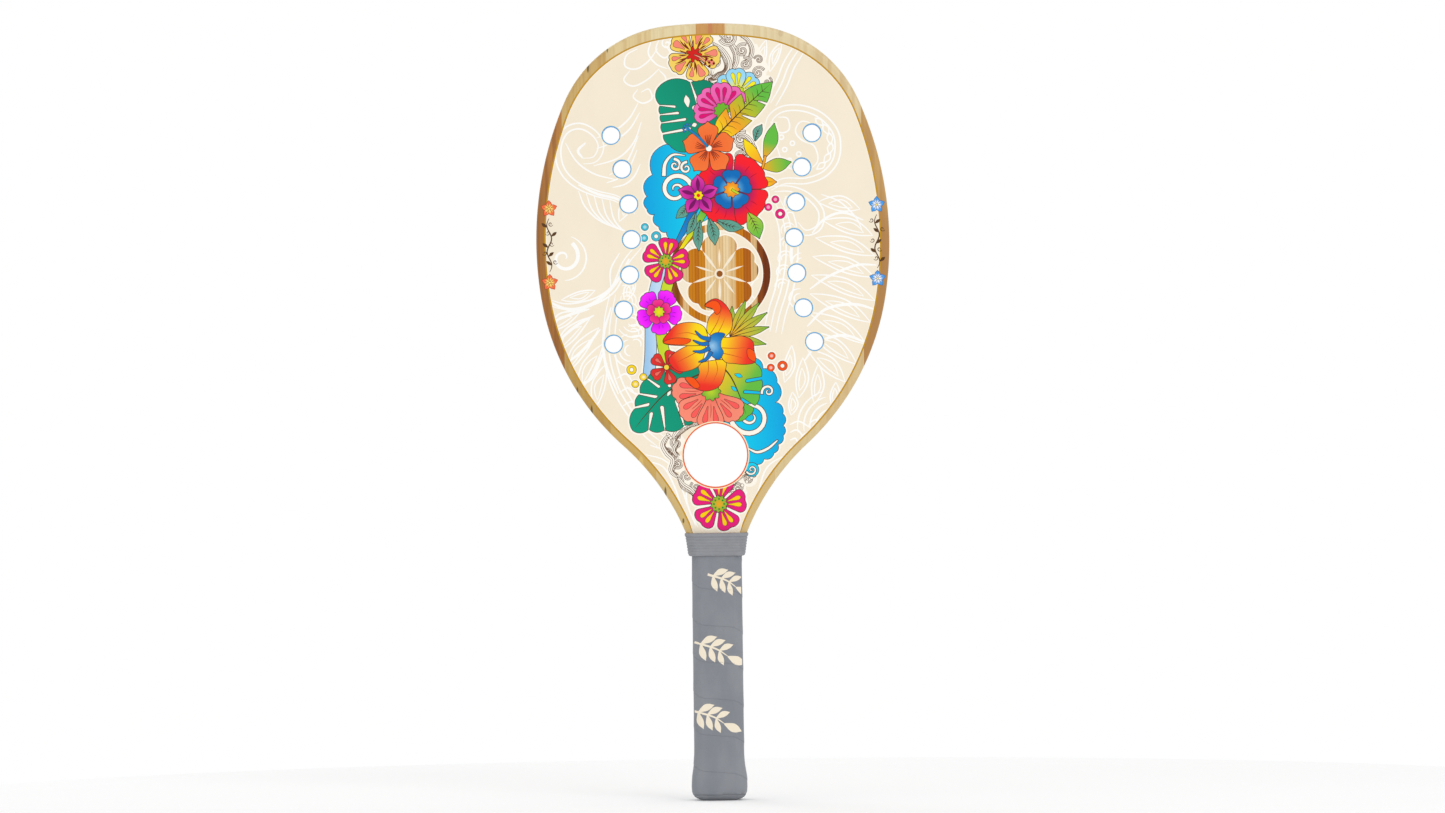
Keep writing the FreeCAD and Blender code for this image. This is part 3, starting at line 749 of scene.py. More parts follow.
def flame_flower(sheet):
    """Five broad curling petals, yellow at the heart and red at the tips."""
    heart = (-4, 294.6)
    petals = [
        ([(6, 283), (7, 277), (3.4, 267), (-4.8, 263.5), (-13.1, 265.5), (-18.8, 271.7), (-12, 271), (-9.6, 275),
          (-9, 281)], (-8, 262)),
        ([(-9, 281), (-17.2, 276.5), (-24.5, 277), (-28.9, 284.6), (-17, 292.4), (-6, 293)], (-30, 280)),
        ([(-5, 294), (-17.7, 292.8), (-32.5, 294.6), (-28, 302.4), (-23.5, 306.1), (-16, 307.5), (-8.7, 306.1),
          (-5.1, 302)], (-32, 300)),
        ([(-4, 301), (-3, 310), (1, 315), (-5.5, 318), (-2, 321.5), (2.6, 322.2), (8, 318), (11.6, 310.5), (10.7, 302),
          (4, 297)], (3, 323)),
        ([(2, 296), (9.9, 297.5), (18.1, 298.2), (24.5, 295), (25.6, 288.3), (26.4, 282), (20.7, 280.3), (13.2, 280.9),
          (6, 283)], (27, 287)),
    ]
    tones = (YELLOW, YELLOW, ink(253, 214, 16), ORANGE, ink(246, 110, 36), ink(240, 50, 34), ink(236, 40, 34))
    sheet.motif([(smooth(points, True, 5), along(heart, tip, *tones)) for points, tip in petals])
    folds = ([(-5.5, 318), (-1, 316.6), (2, 312.5), (4.6, 316), (2.6, 320.5), (-1.5, 321)],
             [(-32.5, 294.6), (-25, 297.5), (-15, 296.5), (-20, 293.4)],
             [(-18.8, 271.7), (-13.5, 271.6), (-9.6, 266.5), (-13.1, 265.5)],
             [(26.4, 282), (22, 284.5), (21.5, 290), (25.6, 288.3)])
    for fold in folds:
        sheet.figure(smooth(fold, True, 4), flat(ink(250, 84, 10)), .3)
    lines = ([(-3, 299), (2, 307), (5, 315)], [(1, 298), (5, 305), (7.5, 311)], [(4, 291), (13, 290.5), (21, 291)],
             [(3, 288), (12, 286), (19, 284)], [(0, 286), (2, 277), (-1, 269)], [(-4, 285), (-4, 276), (-7, 269)],
             [(-10, 289), (-18, 285), (-24, 282)], [(-10, 299), (-17, 301), (-25, 300)])
    for line in lines:
        sheet.paint(stroke(smooth(line, steps=4), .5, "tail"), flat(ink(196, 70, 20)))
    moon = smooth([(-3.5, 297), (1, 300.5), (6.9, 299.8), (4.6, 296), (4.2, 291.5), (5.8, 288), (2.9, 283.5),
                   (-1.5, 286), (-3.8, 291)], True, 5)
    sheet.figure(moon, glow((-1, 292), 9, ink(160, 206, 236), ink(50, 140, 206), BLUE))
    blue = flat(ink(20, 116, 190))
    for path in ([(-2.5, 296.5), (-8, 298), (-12, 302)], [(-3.5, 294), (-8, 293.6), (-13.5, 296)],
                 [(-3, 291), (-8, 288.6), (-13.5, 289)], [(-2, 288.5), (-5, 284), (-10, 282)]):
        sheet.figure(stroke(smooth(path, steps=4), 2.6, "tail"), blue, .35)


def lower_bouquet(sheet):
    for tip in ((11.8, 316.8), (20.3, 320.5), (28.8, 319), (33.5, 312.7), (34.5, 303.8), (32.6, 293.1)):
        base = (10.7, 298)
        way = np.subtract(tip, base)
        end = np.add(tip, way * .04)
        leaf(sheet, base, end, 5.0, along(base, end, ORANGE, ink(214, 186, 50), ink(176, 188, 60), ink(112, 180, 60)),
             0, 0, .8)
        sheet.paint(stroke([base, tuple(np.add(base, way * .5)), tuple(np.add(base, way * .9))], .5, "tail"),
                    flat(LINE))
    monstera(sheet, [(-6, 280), (-20, 277), (-31.5, 277), (-43, 271.5), (-47.6, 262), (-50.6, 253), (-53, 238.6),
                     (-42.7, 239.5), (-32.4, 239), (-20, 241.5), (-8, 252), (-2, 266)],
             along((-50, 250), (-12, 270), TEAL, ink(0, 142, 112)),
             [((-47.6, 262), (-38, 260), 2.0), ((-50.6, 253), (-43, 255), 2.0), ((-42.7, 239.5), (-41, 249), 2.2),
              ((-32.4, 239), (-34, 253), 2.3), ((-20, 241.5), (-24.5, 257), 2.3), ((-31.5, 277), (-29, 267), 2.0),
              ((-43, 271.5), (-36, 266.5), 1.8)],
             [(-29.4, 262.2, 4.2, 2, 60), (-19.5, 259.5, 4.4, 2, 60)],
             [(-9, 274.5), (-22, 268.5), (-34, 260), (-45, 248), (-51.5, 240)])
    monstera(sheet, [(27, 280), (14, 284), (2, 284), (-2, 268), (0, 250), (11.5, 244.5), (21, 247), (24.6, 253),
                     (28, 262), (29.6, 271)],
             along((2, 276), (29, 258), ink(250, 196, 40), ink(200, 196, 44), GREEN, GREEN),
             [((29.6, 271), (21, 269.5), 1.9), ((28, 262), (19.5, 262.5), 1.9), ((24.6, 253), (17.5, 257.5), 1.9),
              ((11.5, 244.5), (12, 253), 1.9)],
             [(15.5, 273, 5, 2.2, -20), (12.5, 264.5, 4.4, 2, -40)],
             [(1, 283), (10, 273), (16, 260), (20, 248)], SKY)
    centre = (-2.3, 263)
    coral = glow(centre, 25, ink(238, 100, 84), ink(250, 136, 112), ink(250, 142, 118))
    angles = (178, 318, 222, 268)
    open_flower(sheet, centre, angles, 25, 16, "lobed", coral)
    for angle in angles:
        marks(sheet, centre, (angle + 11, angle - 11), 10, 20.5, 3.3, ink(252, 92, 88))
        hairlines(sheet, centre, (angle,), 8, 17, ink(190, 60, 50), .5)
    sheet.figure(rosette(*centre, 5.5, 9, .13), glow(centre, 6, LIME, ink(112, 178, 50)))
    centre = (-30.8, 278.9)
    open_flower(sheet, centre, [72 * i + 70 for i in range(5)], 10.8, 7.6, "club",
                glow(centre, 11, ink(150, 16, 30), ink(222, 44, 42), ink(226, 50, 44)))
    marks(sheet, centre, [70 + 72 * i for i in range(5)], 4, 8.8, 2.2, ink(240, 110, 96))
    sheet.figure(circle(*centre, 1.6, 14), flat(ink(248, 214, 60)), .25)
    flame_flower(sheet)
    centre = (-35.2, 314.6)
    open_flower(sheet, centre, [60 + 72 * i for i in range(5)], 14.6, 11.4, "lobed",
                glow(centre, 13.5, ink(110, 0, 200), ink(150, 20, 232), ink(232, 0, 250), ink(250, 40, 255)))
    hairlines(sheet, centre, [60 + 72 * i + d for i in range(5) for d in (-7, 7)], 8.6, 11, ink(130, 0, 180), .35)
    open_flower(sheet, centre, [96 + 72 * i for i in range(5)], 7.9, 6.8, "broad",
                glow(centre, 8, ink(190, 10, 90), PINK, ink(246, 60, 150)), .35)
    sheet.figure(rosette(*centre, 3.1, 8, .14), glow(centre, 3, YELLOW, LIME), .3)
    pink_flower(sheet, (-30.5, 347.1), 14.8, 80)
    pink_flower(sheet, (1.9, 190.5), 17.2, 80)


def beads(sheet):
    blue, orange, yellow = ink(60, 186, 210), ink(248, 84, 16), ink(250, 214, 30)
    for x, z, colour in ((33, 388.2, PINK), (40.6, 386, PINK), (36, 381.1, PINK), (-43.6, 369.3, blue),
                         (-44.1, 362.2, blue), (36.9, 285.4, orange), (36.3, 277.8, orange), (-45.8, 272.8, yellow),
                         (-51, 268.3, yellow), (-43.5, 265.6, yellow)):
        bead(sheet, x, z, 2.2, colour)
    for x, z, colour in ((43.6, 376.7, PINK), (-36.4, 363.2, blue), (43.8, 278.9, orange), (-53.3, 277.6, yellow)):
        bead(sheet, x, z, 3.0, colour, True)


def artwork():
    """Every layer of the print, from the ground up."""
    ground, flowers = Sheet(), Sheet()
    background(ground)
    filigree(flowers)
    clouds(flowers)
    wood_ring(flowers, 4.1, 338.6, 32.7)
    ribbons(flowers)
    beads(flowers)
    upper_bouquet(flowers)
    lower_bouquet(flowers)
    return ground.layers + flowers.halos + flowers.layers


# ---------------------------------------------------------------- from outlines to meshes

def windings(outline, points):
    """How often the outline winds round each point."""
    x, z = points[:, :1], points[:, 1:]
    ax, az = outline[:, 0], outline[:, 1]
    bx, bz = np.roll(ax, -1), np.roll(az, -1)
    left = (bx - ax) * (z - az) - (x - ax) * (bz - az)
    return ((az <= z) & (bz > z) & (left > 0)).sum(1) - ((az > z) & (bz <= z) & (left < 0)).sum(1)


def topmost(layers, points):
    """Index of the last layer painted over each point, or -1."""
    found = np.full(len(points), -1)
    for index in range(len(layers) - 1, -1, -1):
        outline = layers[index][0]
        low, high = outline.min(0), outline.max(0)
        near = np.flatnonzero((found < 0) & ((points >= low) & (points <= high)).all(1))
        if len(near):
            found[near[windings(outline, points[near]) != 0]] = index
    return found


def triangles(outlines, lines, loose=()):
    """Corner points and triangles of the plane cut along every outline and line."""
    places, edges = [], []
    for path, closed in [(o, True) for o in outlines] + [(o, False) for o in lines]:
        first, count = len(places), len(path)
        places += [Vector(p) for p in path.tolist()]
        edges += [(first + i, first + (i + 1) % count) for i in range(count if closed else count - 1)]
    places += [Vector(p) for p in loose]
    result = delaunay_2d_cdt(places, edges, [], 0, 0.01)
    corners = np.array([v[:] for v in result[0]])
    return corners, np.array([f for f in result[2]])


def rims(faces):
    """Directed edges that belong to one face only."""
    edges = np.vstack([faces[:, [0, 1]], faces[:, [1, 2]], faces[:, [2, 0]]])
    key = np.sort(edges, 1) @ np.array([1 << 32, 1])
    _, first, count = np.unique(key, return_index=True, return_counts=True)
    return edges[first[count == 1]]


def new_object(name, vertices, faces, material, colours=None, smooth_shading=False):
    mesh = bpy.data.meshes.new(name)
    mesh.from_pydata(np.asarray(vertices).tolist(), [], [list(map(int, f)) for f in faces])
    if colours is not None:
        attribute = mesh.color_attributes.new("ink_and_painted_shade", "FLOAT_COLOR", "CORNER")
        attribute.data.foreach_set("color", np.asarray(colours, np.float32).ravel())
    mesh.polygons.foreach_set("use_smooth", [smooth_shading] * len(mesh.polygons))
    mesh.update()
    obj = bpy.data.objects.new(name, mesh)
    bpy.context.scene.collection.objects.link(obj)
    mesh.materials.append(material)
    return obj


def printed(name, sheet, material, front, back, lift=None, spacing=2.2, side=(206, 190, 160)):
    """Closed thin piece carrying a sheet's artwork on its front. Everything unpainted is left out.

    Front and back are distances toward the viewer of the front face. With lift, the artwork
    follows a curved surface instead: lift gives that surface's distance at each point.
    """
    layers = sheet.layers
    everything = np.vstack([outline for outline, _ in layers])
    low, high = everything.min(0), everything.max(0)
    columns, rows = np.arange(low[0], high[0], spacing), np.arange(low[1], high[1], spacing * 0.866)
    grid = np.array([(x + (j % 2) * spacing / 2, z) for j, z in enumerate(rows) for x in columns])
    owner = topmost(layers, grid)
    shaded = [i >= 0 and (lift is not None or getattr(layers[i][1], "graded", False)) for i in owner]
    lines = [line for _, fill in layers for line in getattr(fill, "lines", ())]
    corners, faces = triangles([outline for outline, _ in layers], lines, grid[shaded])
    middle = corners[faces].mean(1)
    owner = topmost(layers, middle)
    kept = np.array([i >= 0 and layers[i][1] is not None for i in owner])
    faces, middle, owner = faces[kept], middle[kept], owner[kept]
    turn = np.cross(corners[faces[:, 1]] - corners[faces[:, 0]], corners[faces[:, 2]] - corners[faces[:, 0]])
    solid = np.abs(turn) > 1e-9
    faces, middle, owner, turn = faces[solid], middle[solid], owner[solid], turn[solid]
    faces = np.where(turn[:, None] > 0, faces, faces[:, ::-1])
    inks = np.zeros((len(faces), 3, 3))
    for index in np.unique(owner):
        mine, fill = np.flatnonzero(owner == index), layers[index][1]
        if getattr(fill, "lines", None):
            inks[mine] = fill(middle[mine])[:, None]
        else:
            inks[mine] = fill(corners[faces[mine]].reshape(-1, 2)).reshape(-1, 3, 3)
    # Keep the used points only, then close the piece with walls and a plain back
    used, faces = np.unique(faces, return_inverse=True)
    faces = faces.reshape(-1, 3)
    points = corners[used]
    edge = rims(faces)
    border = np.unique(edge)
    spot = np.full(len(points), -1)
    spot[border] = np.arange(len(border))
    reverse_points, reverse_faces = triangles([], [points[e] for e in edge])
    owner = crossings(points[edge], reverse_points[reverse_faces].mean(1))
    reverse_faces = reverse_faces[owner]
    a, b, c = (reverse_points[reverse_faces[:, k]] for k in range(3))
    flip = np.cross(b - a, c - a) > 0
    reverse_faces = np.where(flip[:, None], reverse_faces[:, ::-1], reverse_faces)
    nearest = match(reverse_points, points[border])
    surface = lift(points) if lift else np.zeros(len(points))
    upper = np.column_stack([points[:, 0], -(surface + front), points[:, 1]])
    lower = np.column_stack([points[border, 0], -(surface[border] + back), points[border, 1]])
    vertices = np.vstack([upper, lower]) * MM
    base = len(points)
    walls = [(b, a, base + spot[a], base + spot[b]) for a, b in edge]
    backs = base + nearest[reverse_faces]
    plain = np.array(ink(*side) + (1.0,))
    colours = [np.column_stack([inks.reshape(-1, 3), np.ones(len(faces) * 3)]),
               np.tile(plain, (len(walls) * 4 + len(backs) * 3, 1))]
    return new_object(name, vertices, list(faces) + walls + list(backs), material, np.vstack(colours))


def crossings(edges, points):
    """True where a line from the point crosses the edges an odd number of times."""
    odd = np.zeros(len(points), bool)
    for first in range(0, len(edges), 2000):
        ax, az, bx, bz = edges[first:first + 2000].reshape(-1, 4).T
        z = points[:, 1:]
        with np.errstate(divide="ignore", invalid="ignore"):
            reach = ax + (z - az) * (bx - ax) / (bz - az)
        hit = ((az <= z) != (bz <= z)) & (points[:, :1] < reach)
        odd ^= hit.sum(1) % 2 == 1
    return odd


def match(points, targets):
    """Index of the nearest target to each point."""
    order = np.empty(len(points), int)
    for first in range(0, len(points), 500):
        gap = ((points[first:first + 500, None] - targets[None]) ** 2).sum(2)
        order[first:first + 500] = gap.argmin(1)
    return order


def turned_round(obj, name):
    """Copy of a piece for the other face: turned half round the vertical axis."""
    twin = obj.copy()
    twin.data = obj.data.copy()
    twin.name = twin.data.name = name
    twin.data.transform(Matrix.Rotation(math.pi, 4, "Z"))
    bpy.context.scene.collection.objects.link(twin)
    return twin


def lathe(name, places, profile, material, segments=72):
    """One ring per place (x, z), turned about a line through the board: profile of (radius, y)."""
    vertices, faces = [], []
    around = np.linspace(0, 2 * math.pi, segments, endpoint=False)
    for x, z in places:
        first = len(vertices)
        for angle in around:
            vertices += [(x + r * math.cos(angle), y, z + r * math.sin(angle)) for r, y in profile]
        n = len(profile)
        for i in range(segments):
            for j in range(n):
                a, b = first + i * n, first + (i + 1) % segments * n
                faces.append((a + j, a + (j + 1) % n, b + (j + 1) % n, b + j))
    return new_object(name, np.array(vertices) * MM, faces, material, smooth_shading=True)


# ---------------------------------------------------------------- procedural materials

def material(name):
    made = bpy.data.materials.new(name)
    made.use_nodes = True
    made.node_tree.nodes.clear()
    return made


def node(tree, kind, inputs=None, **settings):
    """New shader node. Inputs are values or the output sockets of other nodes."""
    made = tree.nodes.new("ShaderNode" + kind)
    for key, value in settings.items():
        setattr(made, key, value)
    for key, value in (inputs or {}).items():
        if isinstance(value, bpy.types.NodeSocket):
            tree.links.new(value, made.inputs[key])
        else:
            made.inputs[key].default_value = value
    return made


def calculate(tree, operation, *values, clamp=False):
    made = node(tree, "Math", dict(enumerate(values)), operation=operation)
    made.use_clamp = clamp
    return made.outputs[0]


def mixed(tree, share, first, second):
    made = tree.nodes.new("ShaderNodeMix")
    made.data_type = "RGBA"
    for socket, value in zip((made.inputs[0], made.inputs[6], made.inputs[7]), (share, first, second)):
        if isinstance(value, bpy.types.NodeSocket):
            tree.links.new(value, socket)
        else:
            number = isinstance(value, (int, float))
            socket.default_value = value if number else tuple(value) + (1.0,) * (4 - len(value))
    return made.outputs[2]


def surface(made, colour, roughness, bump=None, bump_depth=0.0, **values):
    """Principled surface on a material, with an optional bump from a height in mm."""
    tree = made.node_tree
    inputs = {"Base Color": colour, "Roughness": roughness}
    if bump is not None:
        inputs["Normal"] = node(tree, "Bump", {"Height": bump, "Strength": 1.0, "Distance": bump_depth * MM}).outputs[0]
    shader = node(tree, "BsdfPrincipled", inputs)
    for key, value in values.items():
        shader.inputs[key.replace("_", " ")].default_value = value
    output = tree.nodes.new("ShaderNodeOutputMaterial")
    tree.links.new(shader.outputs[0], output.inputs[0])
    return made


def place_in_mm(tree):
    """Object coordinates in mm."""
    coordinates = tree.nodes.new("ShaderNodeTexCoord").outputs["Object"]
    return node(tree, "VectorMath", {0: coordinates, 1: (1000, 1000, 1000)}, operation="MULTIPLY").outputs[0]


def stretched(tree, place, scale, move=(0, 0, 0)):
    return node(tree, "Mapping", {"Vector": place, "Scale": scale, "Location": move}).outputs[0]


def noise(tree, place, detail, roughness=0.5, distortion=0.0):
    return node(tree, "TexNoise", {"Vector": place, "Scale": 1.0, "Detail": detail, "Roughness": roughness,
                                   "Distortion": distortion}).outputs[0]


def ranged(tree, value, low, high, out_low=0.0, out_high=1.0):
    """Value spread from one range to another, smoothly and without going past its ends."""
    return node(tree, "MapRange", {"Value": value, "From Min": low, "From Max": high, "To Min": out_low,
                                   "To Max": out_high}, interpolation_type="SMOOTHSTEP").outputs[0]


def spot(tree, place, centre, size):
    """1 inside a long soft spot, 0 outside it."""
    offset = node(tree, "VectorMath", {0: place, 1: centre}, operation="SUBTRACT").outputs[0]
    offset = node(tree, "VectorMath", {0: offset, 1: size}, operation="DIVIDE").outputs[0]
    far = node(tree, "VectorMath", {0: offset}, operation="LENGTH").outputs["Value"]
    return ranged(tree, far, 1.0, 0.55)


def wood(name, tone, dark, seed, zones=(), spots=(), middle=None):
    """Varnished wood with lengthwise grain. Zones fade to another tone over a range of heights.

    Zones: (tone, height where it starts, height where it is complete).
    Spots: (x, z, half width, half length, colour, strength).
    """
    made = material(name)
    tree = made.node_tree
    place = place_in_mm(tree)
    height = node(tree, "SeparateXYZ", {0: place}).outputs[2]
    colour, low_tone = ink(*tone), ink(*dark)
    for other, start, end in zones:
        colour = mixed(tree, ranged(tree, height, start, end), colour, ink(*other))
    bands = noise(tree, stretched(tree, place, (0.34, 0.30, 0.006), (seed * 7.3, seed * 2.9, seed)), 2.0, 0.45, 0.6)
    grain = noise(tree, stretched(tree, place, (1.5, 1.3, 0.018), (seed * 3.1, seed, seed * 5.7)), 4.0, 0.62, 0.4)
    pores = noise(tree, stretched(tree, place, (6.0, 6.0, 0.14), (seed, seed * 1.7, seed * 2.3)), 3.0, 0.7)
    shade = mixed(tree, ranged(tree, bands, 0.42, 0.66, 0.0, 0.45), colour, low_tone)
    shade = mixed(tree, ranged(tree, grain, 0.50, 0.72, 0.0, 0.32), shade, low_tone)
    shade = mixed(tree, ranged(tree, pores, 0.56, 0.70, 0.0, 0.22), shade, low_tone)
    if middle:
        across = calculate(tree, "ABSOLUTE", node(tree, "SeparateXYZ", {0: place}).outputs[0])
        shade = mixed(tree, ranged(tree, across, 1.7, 0.9, 0.0, 0.8), shade, ink(*middle))
    for x, z, half_width, half_length, spot_colour, strength in spots:
        patch = spot(tree, place, (x, -5.0, z), (half_width, 9.0, half_length))
        shade = mixed(tree, calculate(tree, "MULTIPLY", patch, strength), shade, ink(*spot_colour))
    return surface(made, shade, ranged(tree, grain, 0.3, 0.7, 0.36, 0.46), pores, 0.03,
                   Specular_IOR_Level=0.35, Coat_Weight=0.12, Coat_Roughness=0.22)


def print_material():
    """Matt lacquered print: the inks of the mesh with a faint tooth."""
    made = material("print_lacquer")
    tree = made.node_tree
    inks = node(tree, "Attribute", attribute_name="ink_and_painted_shade").outputs["Color"]
    place = place_in_mm(tree)
    tooth = noise(tree, stretched(tree, place, (3.1, 3.1, 3.1)), 3.0, 0.6)
    drift = noise(tree, stretched(tree, place, (0.05, 0.05, 0.03)), 2.0)
    value = calculate(tree, "ADD", ranged(tree, tooth, 0.3, 0.7, -0.008, 0.008),
                      ranged(tree, drift, 0.3, 0.7, 0.985, 1.01))
    shade = node(tree, "HueSaturation", {"Value": value, "Color": inks}).outputs[0]
    return surface(made, shade, ranged(tree, tooth, 0.3, 0.7, 0.46, 0.54), tooth, 0.006, Specular_IOR_Level=0.16)


def sleeve_material(name, tone):
    made = material(name)
    tree = made.node_tree
    drift = noise(tree, stretched(tree, place_in_mm(tree), (0.9, 0.35, 0.9)), 3.0)
    shade = mixed(tree, ranged(tree, drift, 0.35, 0.65), ink(*tone), [0.86 * c for c in ink(*tone)])
    return surface(made, shade, ranged(tree, drift, 0.3, 0.7, 0.34, 0.44), Specular_IOR_Level=0.4)


def tape_material():
    """Matt polyurethane wrap with a fine leather grain, and painted shade that darkens it down in the seam grooves."""
    made = material("grip_wrap")
    tree = made.node_tree
    place = place_in_mm(tree)
    # Painted shade: the point colour is low where the tape dips into a seam groove
    painted_seam_shade = node(tree, "Attribute", attribute_name="ink_and_painted_shade").outputs["Fac"]
    cells = node(tree, "TexVoronoi", {"Vector": stretched(tree, place, (1.05, 1.05, 0.8)), "Scale": 1.0},
                 feature="SMOOTH_F1").outputs[0]
    fine = noise(tree, stretched(tree, place, (2.6, 2.6, 2.6)), 4.0, 0.6)
    drift = noise(tree, stretched(tree, place, (0.06, 0.06, 0.03)), 2.0)
    shade = mixed(tree, ranged(tree, drift, 0.35, 0.65), ink(130, 134, 141), ink(139, 142, 148))
    shade = mixed(tree, ranged(tree, fine, 0.42, 0.7, 0.0, 0.25), shade, ink(121, 124, 131))
    # Painted shade: the wrap is mixed toward a darker grey deep in the seam grooves
    shade = mixed(tree, calculate(tree, "SUBTRACT", 1.0, painted_seam_shade, clamp=True), shade, ink(98, 101, 108))
    height = calculate(tree, "ADD", calculate(tree, "MULTIPLY", cells, 0.7), calculate(tree, "MULTIPLY", fine, 0.5))
    return surface(made, shade, ranged(tree, fine, 0.3, 0.7, 0.62, 0.74), height, 0.09, Specular_IOR_Level=0.3,
                   Sheen_Weight=0.15, Sheen_Roughness=0.5)


def rubber_material(name, tone):
    made = material(name)
    tree = made.node_tree
    place = place_in_mm(tree)
    fine = noise(tree, stretched(tree, place, (2.2, 2.2, 2.2)), 4.0, 0.6)
    drift = noise(tree, stretched(tree, place, (0.12, 0.12, 0.2)), 2.0)
    shade = mixed(tree, ranged(tree, drift, 0.35, 0.65), ink(*tone), ink(*[c + 6 for c in tone]))
    shade = mixed(tree, ranged(tree, fine, 0.5, 0.75, 0.0, 0.35), shade, ink(*[c - 12 for c in tone]))
    return surface(made, shade, ranged(tree, fine, 0.3, 0.7, 0.55, 0.66), fine, 0.03, Specular_IOR_Level=0.3)


def steel_material():
    made = material("nail_steel")
    tree = made.node_tree
    fine = noise(tree, stretched(tree, place_in_mm(tree), (3.0, 3.0, 3.0)), 4.0)
    shade = mixed(tree, fine, ink(176, 178, 180), ink(140, 142, 145))
    return surface(made, shade, ranged(tree, fine, 0.3, 0.7, 0.28, 0.42), Metallic=1.0)


# ---------------------------------------------------------------- wood, as the CAD strips

STREAK = (50, 52, 34)
KNOT = (150, 104, 58)
woods = {
    "strip_centre": wood("wood_centre", (206, 153, 86), (176, 120, 62), 1.0, [((222, 184, 124), 250, 170)], (),
                         (198, 122, 76)),
    "strip_left_1": wood("wood_left_1", (231, 214, 169), (210, 182, 128), 2.0, [((210, 180, 116), 300, 200)],
                         [(-32.5, 198, .9, 5, STREAK, .8), (-21.2, 180, .8, 2, STREAK, .8)]),
    "strip_right_1": wood("wood_right_1", (231, 214, 172), (212, 184, 132), 3.0, [((214, 184, 124), 300, 200)]),
    "strip_left_2": wood("wood_left_2", (226, 203, 150), (201, 166, 106), 4.0, [((204, 168, 92), 330, 250)],
                         [(-66.4, 485, .8, 4, STREAK, .8), (-48, 215, 2.2, 9, (226, 196, 116), .7)]),
    "strip_right_2": wood("wood_right_2", (228, 209, 166), (208, 178, 124), 5.0, [((220, 197, 146), 330, 250)],
                          [(45.5, 493, 2.2, 2.8, KNOT, .2), (63, 487, 1.8, 2.2, KNOT, .2),
                           (51.5, 214, .7, 4, STREAK, .75)]),
    "strip_left_3": wood("wood_left_3", (206, 172, 107), (178, 136, 72), 6.0, [((190, 152, 78), 330, 260)],
                         [(-79, 473, .9, 5, STREAK, .8), (-88.4, 263, .9, 5, STREAK, .8),
                          (-79.3, 251, .9, 5, STREAK, .8)]),
    "strip_right_3": wood("wood_right_3", (224, 202, 156), (200, 166, 112), 7.0, [((216, 188, 134), 330, 260)]),
    "strip_left_edge": wood("wood_left_edge", (164, 105, 42), (126, 74, 24), 8.0, [((186, 126, 60), 380, 425)]),
    "strip_right_edge": wood("wood_right_edge", (200, 158, 94), (172, 124, 66), 9.0, [((178, 128, 68), 400, 360)]),
}
core_wood = wood("wood_core", (214, 184, 126), (186, 150, 96), 10.0)
for name, obj in frame["nodes"].items():
    if name in woods or name.startswith("handle_cheek"):
        obj.material_slots[0].link = "OBJECT"
        obj.material_slots[0].material = woods.get(name, core_wood)


# ---------------------------------------------------------------- printed faces

THICKNESS = 10.0
THROAT_Z = 222.0


def face_loops(name):
    """Outlines of the flat front face of a CAD node in mm, the longest first."""
    mesh = frame["nodes"][name].data
    places = np.array([v.co[:] for v in mesh.vertices]) / MM
    key, back = np.unique(np.round(places[:, [0, 2]], 3), axis=0, return_inverse=True)
    faces = []
    mesh.calc_loop_triangles()
    for triangle in mesh.loop_triangles:
        if triangle.normal.y < -0.9:
            faces.append([back[i] for i in triangle.vertices])
    following = dict(map(tuple, rims(np.array(faces).reshape(-1, 3)).tolist()))
    loops = []
    while following:
        start, step = following.popitem()
        loop = [start]
        while step != start:
            loop.append(step)
            step = following.pop(step)
        loops.append(key[loop])
    return sorted(loops, key=lambda loop: -np.ptp(loop[:, 1]))


def face_art():
    outline, *holes = face_loops("front_face_sheet")
    outline = evenly(outline, 4)
    if np.cross(outline, np.roll(outline, -1, axis=0)).sum() < 0:
        outline = outline[::-1]
    foot = outline[:, 1] < outline[:, 1].min() + 0.3

    def inset(distance):
        """Outline moved inward everywhere but along the foot, where it runs out over the edge."""
        inner = grow(outline, -distance)
        inner[foot, 1] = outline[foot, 1] - 1
        return inner

    sheet = Sheet()
    sheet.paint(outline, flat(GOLD))
    sheet.paint(inset(1.0), flat(HALO))
    sheet.paint(inset(1.35), flat(CREAM))
    sheet.layers += artwork()
    # The gold line and the hole edges lie over everything else, and the print ends at its outline
    inner = inset(1.0)
    sheet.paint(np.vstack([outline, outline[:1], inner[:1], inner[::-1]]), flat(GOLD))
    (left, low), (right, high) = outline.min(0) - 30, outline.max(0) + 30
    frame_corners = np.array([(left, low), (right, low), (right, high), (left, high)])
    sheet.paint(np.vstack([frame_corners, frame_corners[:1], outline[:1], outline[::-1]]), None)
    places = []
    for hole in holes:
        centre, radius = (hole.max(0) + hole.min(0)) / 2, np.ptp(hole[:, 0]) / 2
        places.append((centre[0], centre[1], radius))
        sheet.paint(circle(*centre, radius + 0.6, 64), flat(ink(255, 240, 205)))
    for x, z, radius in places:
        sheet.paint(circle(x, z, radius, 72), None)
    return sheet, places


lacquer = print_material()
art, holes = face_art()
front_print = printed("front_print", art, lacquer, THICKNESS / 2 + 0.03, THICKNESS / 2 - 0.5)
back_print = turned_round(front_print, "back_print")
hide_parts("front_face_sheet")
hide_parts("back_face_sheet")

SLEEVE_LIP = 0.12
AIR_WALL, THROAT_WALL = 0.75, 0.85


def sleeve_profile(outer, wall):
    """Tube wall with rounded ends that stand a little proud of the faces: (radius, y) points."""
    inner, soft, half = outer - wall, wall * 0.35, THICKNESS / 2
    ends = [(outer, half), (outer - soft * 0.3, half + SLEEVE_LIP * 0.75), (outer - soft, half + SLEEVE_LIP),
            (inner + soft, half + SLEEVE_LIP), (inner + soft * 0.3, half + SLEEVE_LIP * 0.75),
            (inner, half + SLEEVE_LIP - soft)]
    return ends + [(r, -y) for r, y in reversed(ends)]


